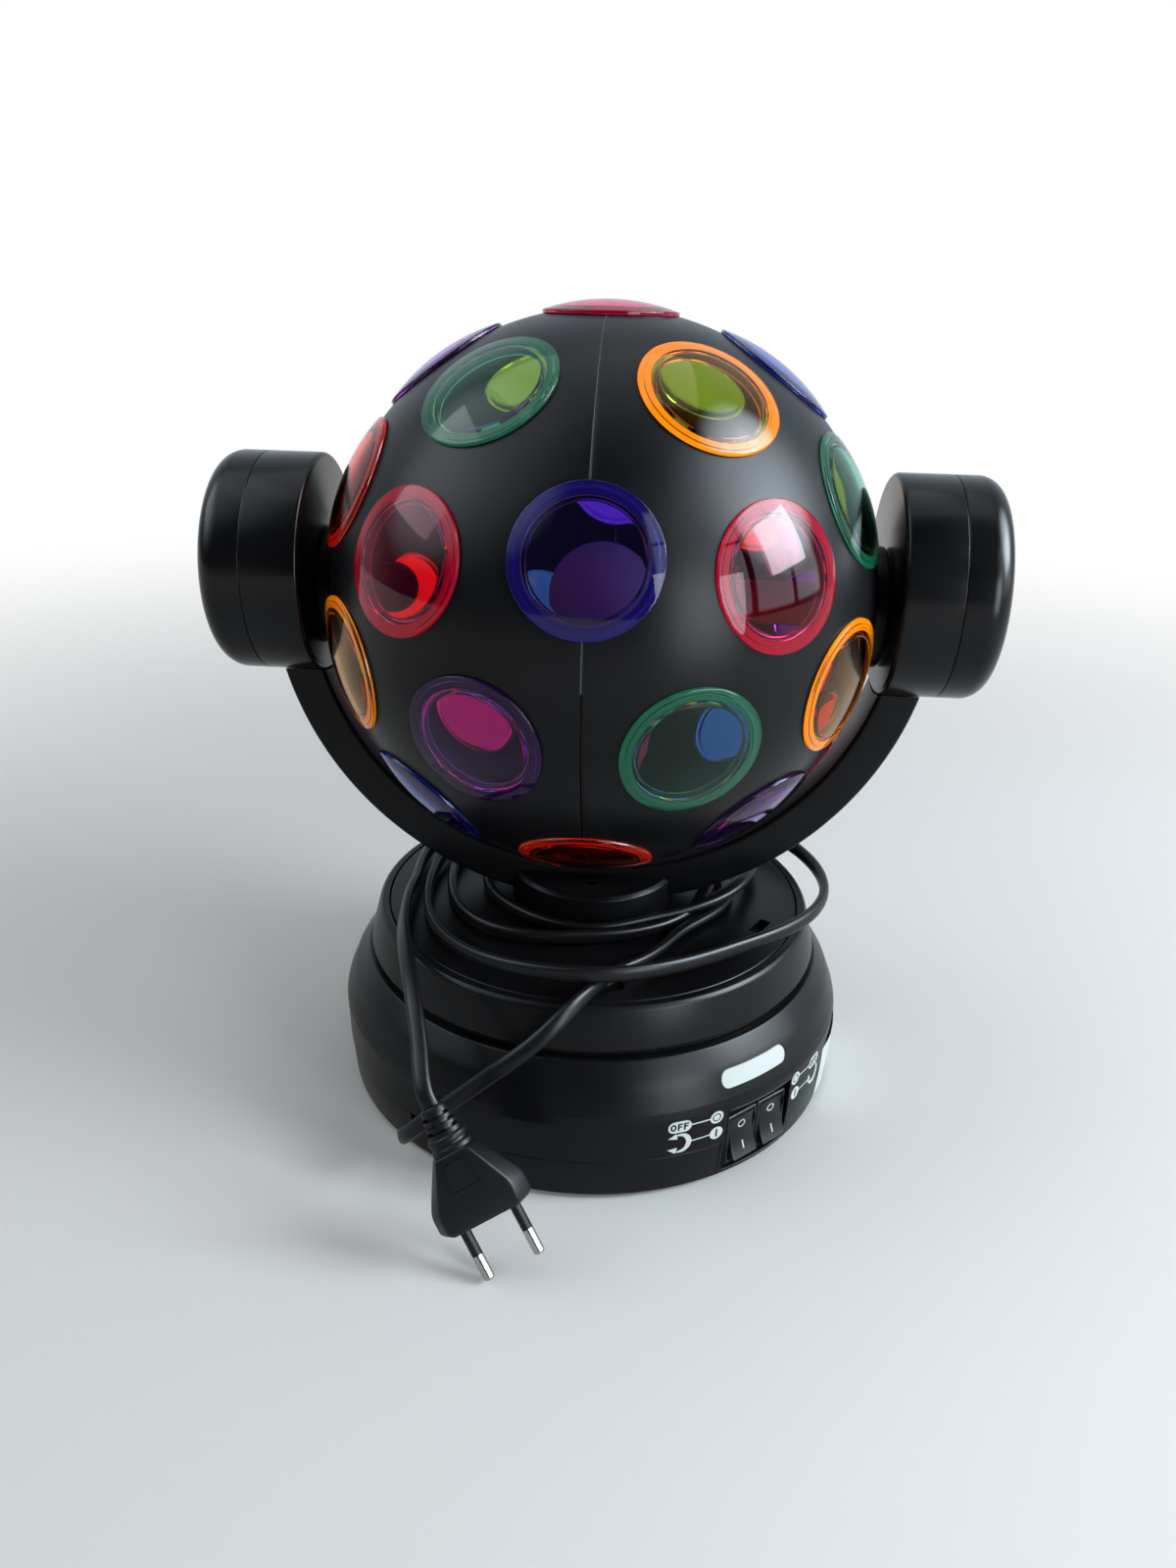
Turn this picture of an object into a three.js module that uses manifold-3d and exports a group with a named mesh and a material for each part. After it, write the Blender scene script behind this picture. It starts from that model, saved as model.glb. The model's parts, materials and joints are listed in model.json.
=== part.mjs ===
// Disco ball light: a ball of coloured lenses that spins between two drums on a swivelling yoke and base.
// Millimetres, +Z up, the front towards -Y, the ball's spin axis along X, the origin under the base.
import * as THREE from 'three';
import { ConvexHull } from 'three/addons/math/ConvexHull.js';
import { mergeVertices } from 'three/addons/utils/BufferGeometryUtils.js';
import Module from 'manifold-3d';

const wasm = await Module();
wasm.setup();

// Angles and small clearances
const fullTurn = 360;
const quarterTurn = 90;
const runningGap = 0.3;
const seatGap = 0.3;
const shaftGap = 0.3;
const cutMargin = 10;
const joinLap = 1;
const mergeDistance = 0.0001;
const planeShare = 0.000001;

// Base: radii stepped in from its widest ring
const baseSides = 40;
const widestRadius = 102;
const bottomStep = 2;
const partingStep = 0.5;
const creaseStep = 1;
const shoulderMidStep = 4.6;
const deckStep = 10.2;
const baseBottomRadius = widestRadius - bottomStep;
const partingRadius = widestRadius - partingStep;
const creaseRadius = widestRadius - creaseStep;
const shoulderMidRadius = widestRadius - shoulderMidStep;
const deckEdgeRadius = widestRadius - deckStep;
const shellWall = 2.5;
const footHeight = 3;
const footRadius = 7;
const footInset = 18;
const footCount = 4;
const footSides = 12;
const firstFootAngle = 45;
const baseRimHeight = 1.2;
const baseRimRun = 2.4;
const baseRimLip = 1;
const partingHeight = 17.3;

// Switches in a flat pocket of the lower wall
const pocketAngle = 42.4;
const pocketDepth = 4.5;
const pocketWall = 2;
const pocketRise = 2.3;
const pocketFloorMargin = 2;
const pocketRoofMargin = 4.5;
const pocketSideMargin = 0.9;
const bezelWidth = 15;
const bezelLength = 21;
const bezelThickness = 2;
const bezelSpacing = 0.2;
const caseWall = 0.6;
const caseGap = 0.2;
const caseFloorRoom = 1;
const caseFloorThickness = 3;
const rockerEndMargin = 1.3;
const rockerSideMargin = 1.6;
const rockerSideGap = 0.3;
const rockerEndGap = 0.25;
const rockerPivotInset = 0.3;
const rockerTilt = 11;
const rockerTipAngle = 26.4;
const rockerBackAngle = 19;
const rockerHollow = 2.5;
const rockerArcSteps = 4;
const pocketFace = widestRadius - pocketDepth;
const pocketBottom = baseRimHeight + pocketRise;
const switchHeight = pocketBottom + pocketFloorMargin + bezelLength / 2;
const pocketTop = switchHeight + bezelLength / 2 + pocketRoofMargin;
const switchPitch = bezelWidth + bezelSpacing;
const pocketWidth = switchPitch + bezelWidth + 2 * pocketSideMargin;
const rockerRadius = bezelLength / 2 - rockerEndMargin;
const rockerWidth = bezelWidth - 2 * rockerSideMargin;
const rockerPivot = pocketFace - rockerPivotInset;
const caseFloor = rockerPivot - rockerRadius - caseFloorRoom;
const caseBack = caseFloor - caseFloorThickness;

// Base: heights stepped up from the switch pocket
const pocketRoof = 3;
const creaseRise = 2.8;
const shoulderMidRise = 9.2;
const deckRise = 7.8;
const widestHeight = pocketTop + pocketRoof;
const creaseHeight = widestHeight + creaseRise;
const shoulderMidHeight = creaseHeight + shoulderMidRise;
const deckHeight = shoulderMidHeight + deckRise;

// Turntable: a conical skirt on a neck, a disc let into its top and a hollow spindle in a bearing tube
const neckStep = 2.8;
const skirtOverhang = 2;
const skirtTaper = 4;
const skirtEdgeRun = 0.8;
const skirtEdgeDrop = 1.1;
const neckHeight = 2.8;
const skirtHeight = 15.9;
const discStep = 3.3;
const discThickness = 3;
const webThickness = 2.5;
const spindleSides = 20;
const spindleRadius = 12;
const spindleWall = 3;
const spindleFloor = 6;
const spindleInset = 3;
const bearingWall = 3.7;
const bearingDrop = 13.8;
const neckRadius = deckEdgeRadius - neckStep;
const skirtBottomRadius = neckRadius + skirtOverhang;
const skirtEdgeRadius = skirtBottomRadius - skirtTaper;
const skirtTopRadius = skirtEdgeRadius - skirtEdgeRun;
const discRadius = skirtTopRadius - discStep;
const skirtBottomHeight = deckHeight + neckHeight;
const tierTopHeight = skirtBottomHeight + skirtHeight;
const bearingInner = spindleRadius + runningGap;
const bearingBottom = deckHeight - bearingDrop;
const spindleBottom = bearingBottom + spindleInset;
const spindleBore = spindleRadius - spindleWall;
const discSlotInset = 11.9;
const discSlotAngle = 70.7;
const discSlotLength = 12;
const discSlotWidth = 6;
const discSlotTurn = 40;
const dimpleInset = 10.1;
const dimpleAngle = 10.1;
const dimpleRadius = 3.2;
const dimpleDepth = 1;

// Swivel motor on a pedestal of the base cover
const motorSides = 24;
const motorShaftRadius = 3;
const motorShaftSides = 12;
const swivelMotorRadius = 25;
const swivelMotorDepth = 20;
const swivelMotorRoom = 4;
const pedestalStep = 5;
const pedestalRadius = swivelMotorRadius - pedestalStep;
const swivelMotorTop = bearingBottom - swivelMotorRoom;
const swivelMotorBottom = swivelMotorTop - swivelMotorDepth;

// Yoke: an arc about the ball's centre with a round boss at its foot
const ballRadius = 100;
const ballRoom = 7.8;
const yokeThickness = 14.8;
const yokeWidth = 25.6;
const yokeSteps = 28;
const yokeFootRise = 1.1;
const yokeTipSink = 6.1;
const bossRadius = 33;
const bossHeight = 13.5;
const bossRimHeight = 3;
const bossRimRun = 3.6;
const bossRimShare = 0.33;
const bossSides = 40;
const bossSlotLength = 9;
const bossSlotWidth = 2.4;
const bossSlotDepth = 3;
const bossSlotInset = 6;
const yokeInnerRadius = ballRadius + ballRoom;
const yokeOuterRadius = yokeInnerRadius + yokeThickness;
const ballCentreHeight = tierTopHeight + yokeFootRise + yokeOuterRadius;
const bossTop = tierTopHeight + bossHeight;

// Ball of two halves
const ballWall = 3;
const seamStep = 8;
const seamMargin = 4;
const fillStep = 12;
const fillMargin = 4.5;
const hubSides = 20;
const hubRadius = 22;
const hubProud = 1.9;
const hubEnd = ballRadius + hubProud;
const hubInner = Math.sqrt((ballRadius - ballWall) ** 2 - hubRadius ** 2);

// Lenses: rings of five about the spin axis, each given by its angle off the middle plane
const lensHalfAngle = 13.6;
const lensLedge = 4.3;
const lensSkirtWall = 1.5;
const lensSkirtDepth = 4.8;
const lensRise = 2.5;
const lensShoulderShare = 0.532;
const lensShoulderDrop = 0.9;
const lensRimThickness = 1.3;
const lensThickness = 1.8;
const lensRimWall = 0.6;
const lensSides = 12;
const lensHoleGap = 0.9;
const lensSeat = 0.1;
const lensesPerRing = 5;
const evenRingAngle = 20.1;
const oddRingAngle = 56.1;
const innerRingAngle = 20.2;
const secondRingAngle = 35.7;
const outerRingAngle = 58;
const lensRings = [
  {
    name: 'lens_middle',
    off: 0,
    start: evenRingAngle,
    hues: ['indigo', 'crimson', 'violet', 'crimson', 'red'],
  },
  {
    name: 'lens_left_inner',
    off: -innerRingAngle,
    start: oddRingAngle,
    hues: ['green', 'amber', 'green', 'blue', 'violet'],
  },
  {
    name: 'lens_right_inner',
    off: innerRingAngle,
    start: oddRingAngle,
    hues: ['amber', 'green', 'red', 'violet', 'green'],
  },
  {
    name: 'lens_left_second',
    off: -secondRingAngle,
    start: evenRingAngle,
    hues: ['crimson', 'violet', 'blue', 'crimson', 'blue'],
  },
  {
    name: 'lens_right_second',
    off: secondRingAngle,
    start: evenRingAngle,
    hues: ['crimson', 'blue', 'amber', 'blue', 'violet'],
  },
  {
    name: 'lens_left_outer',
    off: -outerRingAngle,
    start: oddRingAngle,
    hues: ['red', 'green', 'red', 'violet', 'amber'],
  },
  {
    name: 'lens_right_outer',
    off: outerRingAngle,
    start: oddRingAngle,
    hues: ['green', 'amber', 'blue', 'crimson', 'amber'],
  },
];
const lensColours = {
  indigo: 0x2a2a8c,
  crimson: 0xc4103c,
  violet: 0x4a1478,
  red: 0xe03010,
  green: 0x0a7a54,
  amber: 0xf09a10,
  blue: 0x1e3cb4,
};

// Drums at both ends of the spin axis
const drumRadius = 39.9;
const drumRise = 8.3;
const drumHubGap = 0.8;
const cupDepth = 20.6;
const capDepth = 16.7;
const capStraight = 2.7;
const drumWall = 2.4;
const drumRimRadius = 1.5;
const drumRimShare = 0.3;
const drumCornerSteps = 4;
const drumInnerSteps = 2;
const drumSides = 32;
const drumCornerRadius = capDepth - capStraight;
const drumCentreHeight = ballCentreHeight + drumRise;
const drumInnerFace = hubEnd + drumHubGap;
const drumSeam = drumInnerFace + cupDepth;
const drumOuterFace = drumSeam + capDepth;

// Lamp, its fixed axle on the right and the ball's motor on the left
const axleRadius = 8;
const axleWall = 3;
const axleSides = 16;
const axlePlateStep = 6;
const axlePlateThickness = 2.4;
const bulbRadius = 20;
const bulbNeckRadius = 9;
const bulbSteps = 6;
const bulbSides = 16;
const bulbNeckRun = 8;
const bulbCapRun = 6;
const holderWall = 3.7;
const holderDepth = 22;
const motorDrumRoom = 4.2;
const motorDepth = 15;
const axleBore = axleRadius - axleWall;
const axlePlateRadius = axleRadius + axlePlateStep;
const lampHolderRadius = bulbNeckRadius + seatGap + holderWall;
const lampHolderFrom = bulbRadius + bulbNeckRun;
const lampHolderTo = lampHolderFrom + holderDepth;
const motorRadius = drumRadius - drumWall - drumRise - motorDrumRoom;
const motorFace = drumInnerFace + drumWall;

// Cord: flat, wound round the boss under the yoke
const cordWidth = 6;
const cordThickness = 3.8;
const cordSides = 10;
const cordStep = 11;
const exitAngle = -35.5;
const exitRoof = 0.5;
const exitInset = 5;
const exitSlotGap = 0.35;
const exitHeight = partingHeight - exitRoof - cordWidth / 2;
const exitInner = partingRadius - exitInset;
const windingSides = 6;
const windingStations = 8;
const windingStepsPerTurn = 24;
const windingFrom = 15;
const windingTo = 1350;
const windingSlice = 0.5;
const windingShoulderShare = 0.5;
const gapSteps = 4;
const gapReach = 18;

// One row for each eighth of a turn from the front: radius, centre height, and 1 upright to 0 flat
const windingRows = [
  [73, 75.9, 1], [50.4, 75.4, 0.3], [54.5, 74.9, 0], [48.5, 74.9, 0],
  [46, 75.8, 0.8], [45, 75.9, 1], [44, 75.9, 1], [39.4, 75.8, 0.85],
  [38.4, 75.6, 0.75], [39.2, 76.3, 0.6], [61, 80.8, 0], [79, 76.8, 0.8],
  [72, 75.9, 1], [65, 75.9, 1], [58.6, 75.9, 1], [56.6, 75.9, 1],
  [44.8, 75.9, 1], [43.6, 75.6, 0.6], [46.8, 77.8, 0], [53.5, 80.6, 0],
  [61, 81.3, 0], [71, 81.4, 0], [66.4, 76.8, 0.9], [73.5, 76.2, 1],
  [81, 82.4, 1], [77, 80, 1], [94, 79, 1], [86, 80, 1],
  [82, 78.4, 1], [78.5, 77.4, 1], [72.6, 77, 1],
];

// Free stretches of the cord
const baseCordRoute = [
  [-60.7, -85.1, 13.8], [-62.2, -91.5, 15.6], [-60.6, -97, 20], [-56.3, -100.4, 26],
  [-50.5, -101.4, 32], [-43.5, -101.2, 38.6], [-35.5, -101.4, 45.8], [-28.2, -101.9, 52.9],
  [-21.4, -101.8, 58.9], [-14.6, -100.2, 64.4], [-7.9, -97, 70], [-2, -92, 74.8],
  [3, -84.5, 76.6], [7.5, -76, 75.9],
];
const plugCordRoute = [
  [-72.6, -16, 77.5], [-71.8, -30, 78], [-69.6, -46, 78.6],
  [-66.2, -60, 79], [-61.8, -74, 78.3], [-57.4, -86, 75.8], [-52.8, -96, 71.4],
  [-48.6, -104.6, 66],
];

// Plug: its face centre, and its directions along the pins and across the pins
const plugFaceCentre = [-24.4, -132.9, 20.6];
const plugPinDirection = [0.511, -0.317, -0.799];
const plugAcross = [0.872, 0.24, 0.427];
const plugFaceWidth = 32.4;
const plugWidth = 35.3;
const plugThickness = 13.7;
const plugChamferRun = 1.8;
const plugStraightRun = 4.5;
const plugBodyLength = 22;
const plugShoulderWidth = 15.6;
const plugBevel = 1.5;
const reliefLength = 18.5;
const reliefWidth = 12.4;
const reliefEndWidth = 9.6;
const reliefFlatShare = 0.82;
const reliefRibs = 4;
const reliefGrooveDepth = 1.3;
const reliefSides = 14;
const reliefSink = 1;
const pinLength = 19;
const pinRadius = 2;
const pinSpacing = 18.6;
const pinSides = 12;
const pinTipRun = 1;

const degrees = THREE.MathUtils.degToRad;
const zAxis = new THREE.Vector3(0, 0, 1);

// Closed solids from geometry: shared corners merged, empty triangles dropped, faces turned outwards
function closed(geometry) {
  const bare = geometry.clone();
  bare.deleteAttribute('normal');
  bare.deleteAttribute('uv');
  const merged = mergeVertices(bare, mergeDistance);
  const p = merged.attributes.position;
  const source = merged.index.array;
  const kept = [];
  let volume = 0;
  const a = new THREE.Vector3();
  const b = new THREE.Vector3();
  const c = new THREE.Vector3();
  for (let i = 0; i < source.length; i += 3) {
    const [i0, i1, i2] = [source[i], source[i + 1], source[i + 2]];
    if (i0 === i1 || i1 === i2 || i0 === i2) continue;
    kept.push(i0, i1, i2);
    a.fromBufferAttribute(p, i0);
    b.fromBufferAttribute(p, i1);
    c.fromBufferAttribute(p, i2);
    volume += a.dot(b.cross(c));
  }
  if (volume < 0) {
    for (let i = 0; i < kept.length; i += 3) {
      [kept[i + 1], kept[i + 2]] = [kept[i + 2], kept[i + 1]];
    }
  }
  merged.setIndex(kept);
  return merged;
}

function toSolid(geometry) {
  const g = closed(geometry);
  return new wasm.Manifold(new wasm.Mesh({
    numProp: 3,
    vertProperties: new Float32Array(g.attributes.position.array),
    triVerts: new Uint32Array(g.index.array),
  }));
}

function fromSolid(body) {
  const mesh = body.getMesh();
  const geometry = new THREE.BufferGeometry();
  const points = new Float32Array(mesh.numVert * 3);
  for (let i = 0; i < mesh.numVert; i += 1) {
    for (let k = 0; k < 3; k += 1) points[i * 3 + k] = mesh.vertProperties[i * mesh.numProp + k];
  }
  geometry.setAttribute('position', new THREE.BufferAttribute(points, 3));
  geometry.setIndex(Array.from(mesh.triVerts));
  return geometry;
}

function cut(geometry, ...tools) {
  let body = toSolid(geometry);
  for (const tool of tools) body = body.subtract(toSolid(tool));
  return fromSolid(body);
}

function join(...pieces) {
  let body = toSolid(pieces[0]);
  for (const piece of pieces.slice(1)) body = body.add(toSolid(piece));
  return fromSolid(body);
}

function common(first, second) {
  return fromSolid(toSolid(first).intersect(toSolid(second)));
}

// Revolved forms: profiles are [radius, height] pairs
function revolveZ(profile, sides) {
  const geometry = new THREE.LatheGeometry(profile.map(([r, z]) => new THREE.Vector2(r, z)), sides);
  geometry.rotateX(Math.PI / 2);
  return geometry;
}

// About the X axis at a height, with heights of the profile along +X, or along -X when mirrored
function revolveX(profile, sides, height, side = 1) {
  const geometry = new THREE.LatheGeometry(profile.map(([r, x]) => new THREE.Vector2(r, x * side)), sides);
  geometry.rotateZ(-Math.PI / 2);
  geometry.translate(0, 0, height);
  return geometry;
}

function ring(inner, outer, bottom, top) {
  return [[inner, bottom], [outer, bottom], [outer, top], [inner, top], [inner, bottom]];
}

function disc(radius, bottom, top) {
  return [[0, bottom], [radius, bottom], [radius, top], [0, top]];
}

function arcPoints(radius, from, to, steps, centreRadius = 0, centreHeight = 0) {
  const points = [];
  for (let i = 0; i <= steps; i += 1) {
    const angle = degrees(from + ((to - from) * i) / steps);
    points.push([centreRadius + radius * Math.cos(angle), centreHeight + radius * Math.sin(angle)]);
  }
  return points;
}

function box(width, depth, height) {
  return new THREE.BoxGeometry(width, depth, height);
}

// A block whose middle is at a distance from the Z axis, at an angle from the front
function radialBlock(width, from, to, bottom, top, angle, side = 0) {
  const block = box(width, to - from, top - bottom);
  block.translate(side, -(from + to) / 2, (bottom + top) / 2);
  block.rotateZ(degrees(angle));
  return block;
}

function standard(colour, roughness, metalness = 0) {
  return new THREE.MeshStandardMaterial({ color: colour, roughness, metalness });
}

function piece(name, geometry, material) {
  const mesh = new THREE.Mesh(closed(geometry), material);
  mesh.name = name;
  return mesh;
}

const blackPlastic = standard(0x0b0b0c, 0.45);
const switchBlack = standard(0x101011, 0.4);
const cordBlack = standard(0x0d0d0e, 0.5);
const metal = standard(0xb9b6ae, 0.3, 1);
const bulbWhite = standard(0xe8e4da, 0.3);
const axleGrey = standard(0x9a9a98, 0.6);

const lamp = new THREE.Group();

// Base cover with its feet, the pedestal of the swivel motor, and notches for pocket and cord
const coverInner = partingRadius - shellWall;
const plateTop = footHeight + shellWall;
const coverProfile = [
  [0, footHeight],
  [baseBottomRadius - baseRimRun - baseRimLip, footHeight],
  [baseBottomRadius - baseRimRun, baseRimHeight],
  [baseBottomRadius, baseRimHeight],
  [partingRadius, partingHeight],
  [coverInner, partingHeight],
  [baseBottomRadius - baseRimRun, plateTop],
  [pedestalRadius, plateTop],
  [pedestalRadius, swivelMotorBottom],
  [0, swivelMotorBottom],
];
const footPlace = baseBottomRadius - footInset;
const feet = [];
for (let i = 0; i < footCount; i += 1) {
  const angle = degrees(firstFootAngle + (fullTurn * i) / footCount);
  const foot = revolveZ(disc(footRadius, 0, footHeight + shellWall / 2), footSides);
  foot.translate(footPlace * Math.cos(angle), footPlace * Math.sin(angle), 0);
  feet.push(foot);
}
const tongueHalf = pocketWidth / 2 + pocketWall;
const tongueBack = pocketFace - pocketWall;
const exitSlotWidth = cordWidth + 2 * exitSlotGap;
const exitSlotBottom = exitHeight - cordWidth / 2 - exitSlotGap;
const coverNotch = radialBlock(
  2 * (tongueHalf + seatGap), tongueBack - seatGap, widestRadius + cutMargin,
  -cutMargin, partingHeight + cutMargin, pocketAngle,
);
const exitNotch = radialBlock(
  exitSlotWidth, exitInner - cutMargin / 2, widestRadius + cutMargin,
  exitSlotBottom, partingHeight + cutMargin, exitAngle,
);
const cover = cut(join(revolveZ(coverProfile, baseSides), ...feet), coverNotch, exitNotch);
lamp.add(piece('base_cover', cover, blackPlastic));

// Base housing: wall, shoulder, deck and bearing tube, with the switch pocket on a tongue to the base's edge
const housingProfile = [
  [partingRadius, partingHeight],
  [widestRadius, widestHeight],
  [creaseRadius, creaseHeight],
  [shoulderMidRadius, shoulderMidHeight],
  [deckEdgeRadius, deckHeight],
  [0, deckHeight],
  [0, deckHeight - shellWall],
  [deckEdgeRadius - shellWall / 2, deckHeight - shellWall],
  [shoulderMidRadius - shellWall, shoulderMidHeight - shellWall / 2],
  [partingRadius - shellWall, partingHeight],
  [partingRadius, partingHeight],
];
const recessFloor = tierTopHeight - discThickness;
const webBottom = recessFloor - webThickness;
const bearingTop = webBottom - runningGap;
const bearingTube = revolveZ(disc(bearingInner + bearingWall, bearingBottom, bearingTop), spindleSides);
const bearingBore = revolveZ(
  disc(bearingInner, bearingBottom - cutMargin, bearingTop + cutMargin), spindleSides,
);
const wallProfile = [
  [0, baseRimHeight],
  [baseBottomRadius, baseRimHeight],
  [partingRadius, partingHeight],
  [widestRadius, widestHeight],
  [0, widestHeight],
];
const tongueBlock = radialBlock(
  2 * tongueHalf, tongueBack, widestRadius + cutMargin, 0, pocketTop + pocketWall, pocketAngle,
);
const pocket = radialBlock(
  pocketWidth, pocketFace, widestRadius + cutMargin, pocketBottom, pocketTop, pocketAngle,
);
const caseWidth = rockerWidth + 2 * (rockerSideGap + caseWall);
const caseLength = 2 * (rockerRadius + rockerEndGap + caseWall);
const switchSides = [-switchPitch / 2, switchPitch / 2];
const caseHoles = switchSides.map((side) => radialBlock(
  caseWidth + 2 * caseGap, tongueBack - cutMargin, widestRadius,
  switchHeight - caseLength / 2 - caseGap, switchHeight + caseLength / 2 + caseGap, pocketAngle, side,
));
const tongue = common(revolveZ(wallProfile, baseSides), tongueBlock);
const housing = cut(
  join(revolveZ(housingProfile, baseSides), bearingTube, tongue), bearingBore, pocket, ...caseHoles,
);
lamp.add(piece('base_housing', housing, blackPlastic));

// Switches: a case with a bezel, and a rocker whose round ends turn in it
const bezelFront = pocketFace + bezelThickness;
function switchCase(side) {
  const bezel = radialBlock(
    bezelWidth, pocketFace, bezelFront,
    switchHeight - bezelLength / 2, switchHeight + bezelLength / 2, pocketAngle, side,
  );
  const body = radialBlock(
    caseWidth, caseBack, pocketFace + bezelThickness / 2,
    switchHeight - caseLength / 2, switchHeight + caseLength / 2, pocketAngle, side,
  );
  const well = radialBlock(
    caseWidth - 2 * caseWall, caseFloor, bezelFront + cutMargin,
    switchHeight - caseLength / 2 + caseWall, switchHeight + caseLength / 2 - caseWall, pocketAngle, side,
  );
  return cut(join(bezel, body), well);
}

function rocker(side) {
  const upper = arcPoints(rockerRadius, rockerTipAngle, -rockerBackAngle, rockerArcSteps);
  const outline = [[0, rockerHollow]];
  for (const [v, u] of upper) outline.push([v, u]);
  for (const [v, u] of upper.slice().reverse()) outline.push([-v, u]);
  const shape = new THREE.Shape(outline.map(([v, u]) => new THREE.Vector2(u, v)));
  const geometry = new THREE.ExtrudeGeometry(shape, { depth: rockerWidth, bevelEnabled: false });
  geometry.translate(0, 0, -rockerWidth / 2);
  geometry.rotateZ(degrees(rockerTilt));
  geometry.rotateX(Math.PI / 2);
  geometry.rotateZ(-Math.PI / 2);
  geometry.translate(side, -rockerPivot, switchHeight);
  geometry.rotateZ(degrees(pocketAngle));
  return geometry;
}
switchSides.forEach((side, i) => {
  lamp.add(piece(`switch_case_${i + 1}`, switchCase(side), switchBlack));
  lamp.add(piece(`rocker_${i + 1}`, rocker(side), switchBlack));
});

// Swivel motor: its shaft stands in the floor of the turntable's spindle
const swivelMotor = join(
  revolveZ(disc(swivelMotorRadius, swivelMotorBottom, swivelMotorTop), motorSides),
  revolveZ(
    disc(motorShaftRadius, swivelMotorTop - joinLap, spindleBottom + spindleFloor - seatGap), motorShaftSides,
  ),
);
lamp.add(piece('swivel_motor', swivelMotor, metal));

// Turntable shell: neck, conical skirt with a rounded top edge, recess for the disc, web and hollow spindle
const shellProfile = [
  [neckRadius, deckHeight + runningGap],
  [neckRadius, skirtBottomHeight],
  [skirtBottomRadius, skirtBottomHeight],
  [skirtEdgeRadius, tierTopHeight - skirtEdgeDrop],
  [skirtTopRadius, tierTopHeight],
  [discRadius + seatGap, tierTopHeight],
  [discRadius + seatGap, recessFloor],
  [0, recessFloor],
  [0, webBottom],
  [discRadius, webBottom],
  [neckRadius - shellWall, skirtBottomHeight],
  [neckRadius - shellWall, deckHeight + runningGap],
  [neckRadius, deckHeight + runningGap],
];
const spindle = revolveZ(disc(spindleRadius, spindleBottom, recessFloor - webThickness / 2), spindleSides);
const spindleHollow = revolveZ(disc(spindleBore, spindleBottom + spindleFloor, tierTopHeight), spindleSides);
const spindleSocket = revolveZ(
  disc(motorShaftRadius + shaftGap, spindleBottom - cutMargin, tierTopHeight), motorShaftSides,
);
const turntableShell = cut(join(revolveZ(shellProfile, baseSides), spindle), spindleHollow, spindleSocket);
lamp.add(piece('turntable_shell', turntableShell, blackPlastic));

// Turntable disc with its wire bore, slot and screw dimple
const discSlot = box(discSlotLength, discSlotWidth, discThickness + cutMargin);
discSlot.rotateZ(degrees(discSlotTurn - discSlotAngle));
discSlot.translate(0, discSlotInset - discRadius, tierTopHeight);
discSlot.rotateZ(degrees(discSlotAngle));
const dimple = revolveZ(
  disc(dimpleRadius, tierTopHeight - dimpleDepth, tierTopHeight + cutMargin), motorShaftSides,
);
dimple.translate(0, dimpleInset - discRadius, 0);
dimple.rotateZ(degrees(dimpleAngle));
const topDisc = cut(
  revolveZ(ring(spindleBore, discRadius, recessFloor, tierTopHeight), baseSides), discSlot, dimple,
);
lamp.add(piece('turntable_disc', topDisc, blackPlastic));

// Yoke: arc and boss, its tips shaped to the drums
function yokeArm() {
  const shape = new THREE.Shape();
  const tipDrop = drumRadius - drumRise - yokeTipSink;
  const span = THREE.MathUtils.radToDeg(Math.acos(tipDrop / yokeOuterRadius));
  const outer = arcPoints(yokeOuterRadius, -quarterTurn - span, -quarterTurn + span, yokeSteps);
  const inner = arcPoints(yokeInnerRadius, -quarterTurn + span, -quarterTurn - span, yokeSteps);
  [...outer, ...inner].forEach(([x, z], i) => (i ? shape.lineTo(x, z) : shape.moveTo(x, z)));
  const geometry = new THREE.ExtrudeGeometry(shape, { depth: yokeWidth, bevelEnabled: false });
  geometry.translate(0, 0, -yokeWidth / 2);
  geometry.rotateX(Math.PI / 2);
  geometry.translate(0, 0, ballCentreHeight);
  return geometry;
}
const bossProfile = [
  [0, tierTopHeight],
  [bossRadius, tierTopHeight],
  [bossRadius, bossTop - bossRimHeight],
  [bossRadius - bossRimRun * bossRimShare, bossTop - bossRimHeight * bossRimShare],
  [bossRadius - bossRimRun, bossTop],
  [0, bossTop],
];
const drumClear = drumRadius + seatGap;
const drumCutters = [1, -1].map((side) => revolveX(
  disc(drumClear, drumInnerFace - cutMargin, drumOuterFace), drumSides, drumCentreHeight, side,
));
const bossSlot = box(bossSlotLength, bossSlotWidth, bossSlotDepth * 2);
bossSlot.translate(0, bossSlotInset - bossRadius, bossTop);
const yoke = cut(join(yokeArm(), revolveZ(bossProfile, bossSides)), ...drumCutters, bossSlot);
lamp.add(piece('yoke', yoke, blackPlastic));

// Drums: a cup towards the ball and a rounded cap outside
const cupProfile = [
  [0, drumInnerFace],
  [drumRadius - drumRimRadius, drumInnerFace],
  [drumRadius - drumRimRadius * drumRimShare, drumInnerFace + drumRimRadius * drumRimShare],
  [drumRadius, drumInnerFace + drumRimRadius],
  [drumRadius, drumSeam],
  [drumRadius - drumWall, drumSeam],
  [drumRadius - drumWall, drumInnerFace + drumWall],
  [0, drumInnerFace + drumWall],
];
const cornerRadial = drumRadius - drumCornerRadius;
const cornerAxial = drumOuterFace - drumCornerRadius;
const capOuterArc = arcPoints(drumCornerRadius, 0, quarterTurn, drumCornerSteps, cornerRadial, cornerAxial);
const capInnerArc = arcPoints(
  drumCornerRadius - drumWall, quarterTurn, 0, drumInnerSteps, cornerRadial, cornerAxial,
);
const capProfile = [
  [drumRadius, drumSeam],
  ...capOuterArc,
  [0, drumOuterFace],
  [0, drumOuterFace - drumWall],
  ...capInnerArc,
  [drumRadius - drumWall, drumSeam],
  [drumRadius, drumSeam],
];
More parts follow.
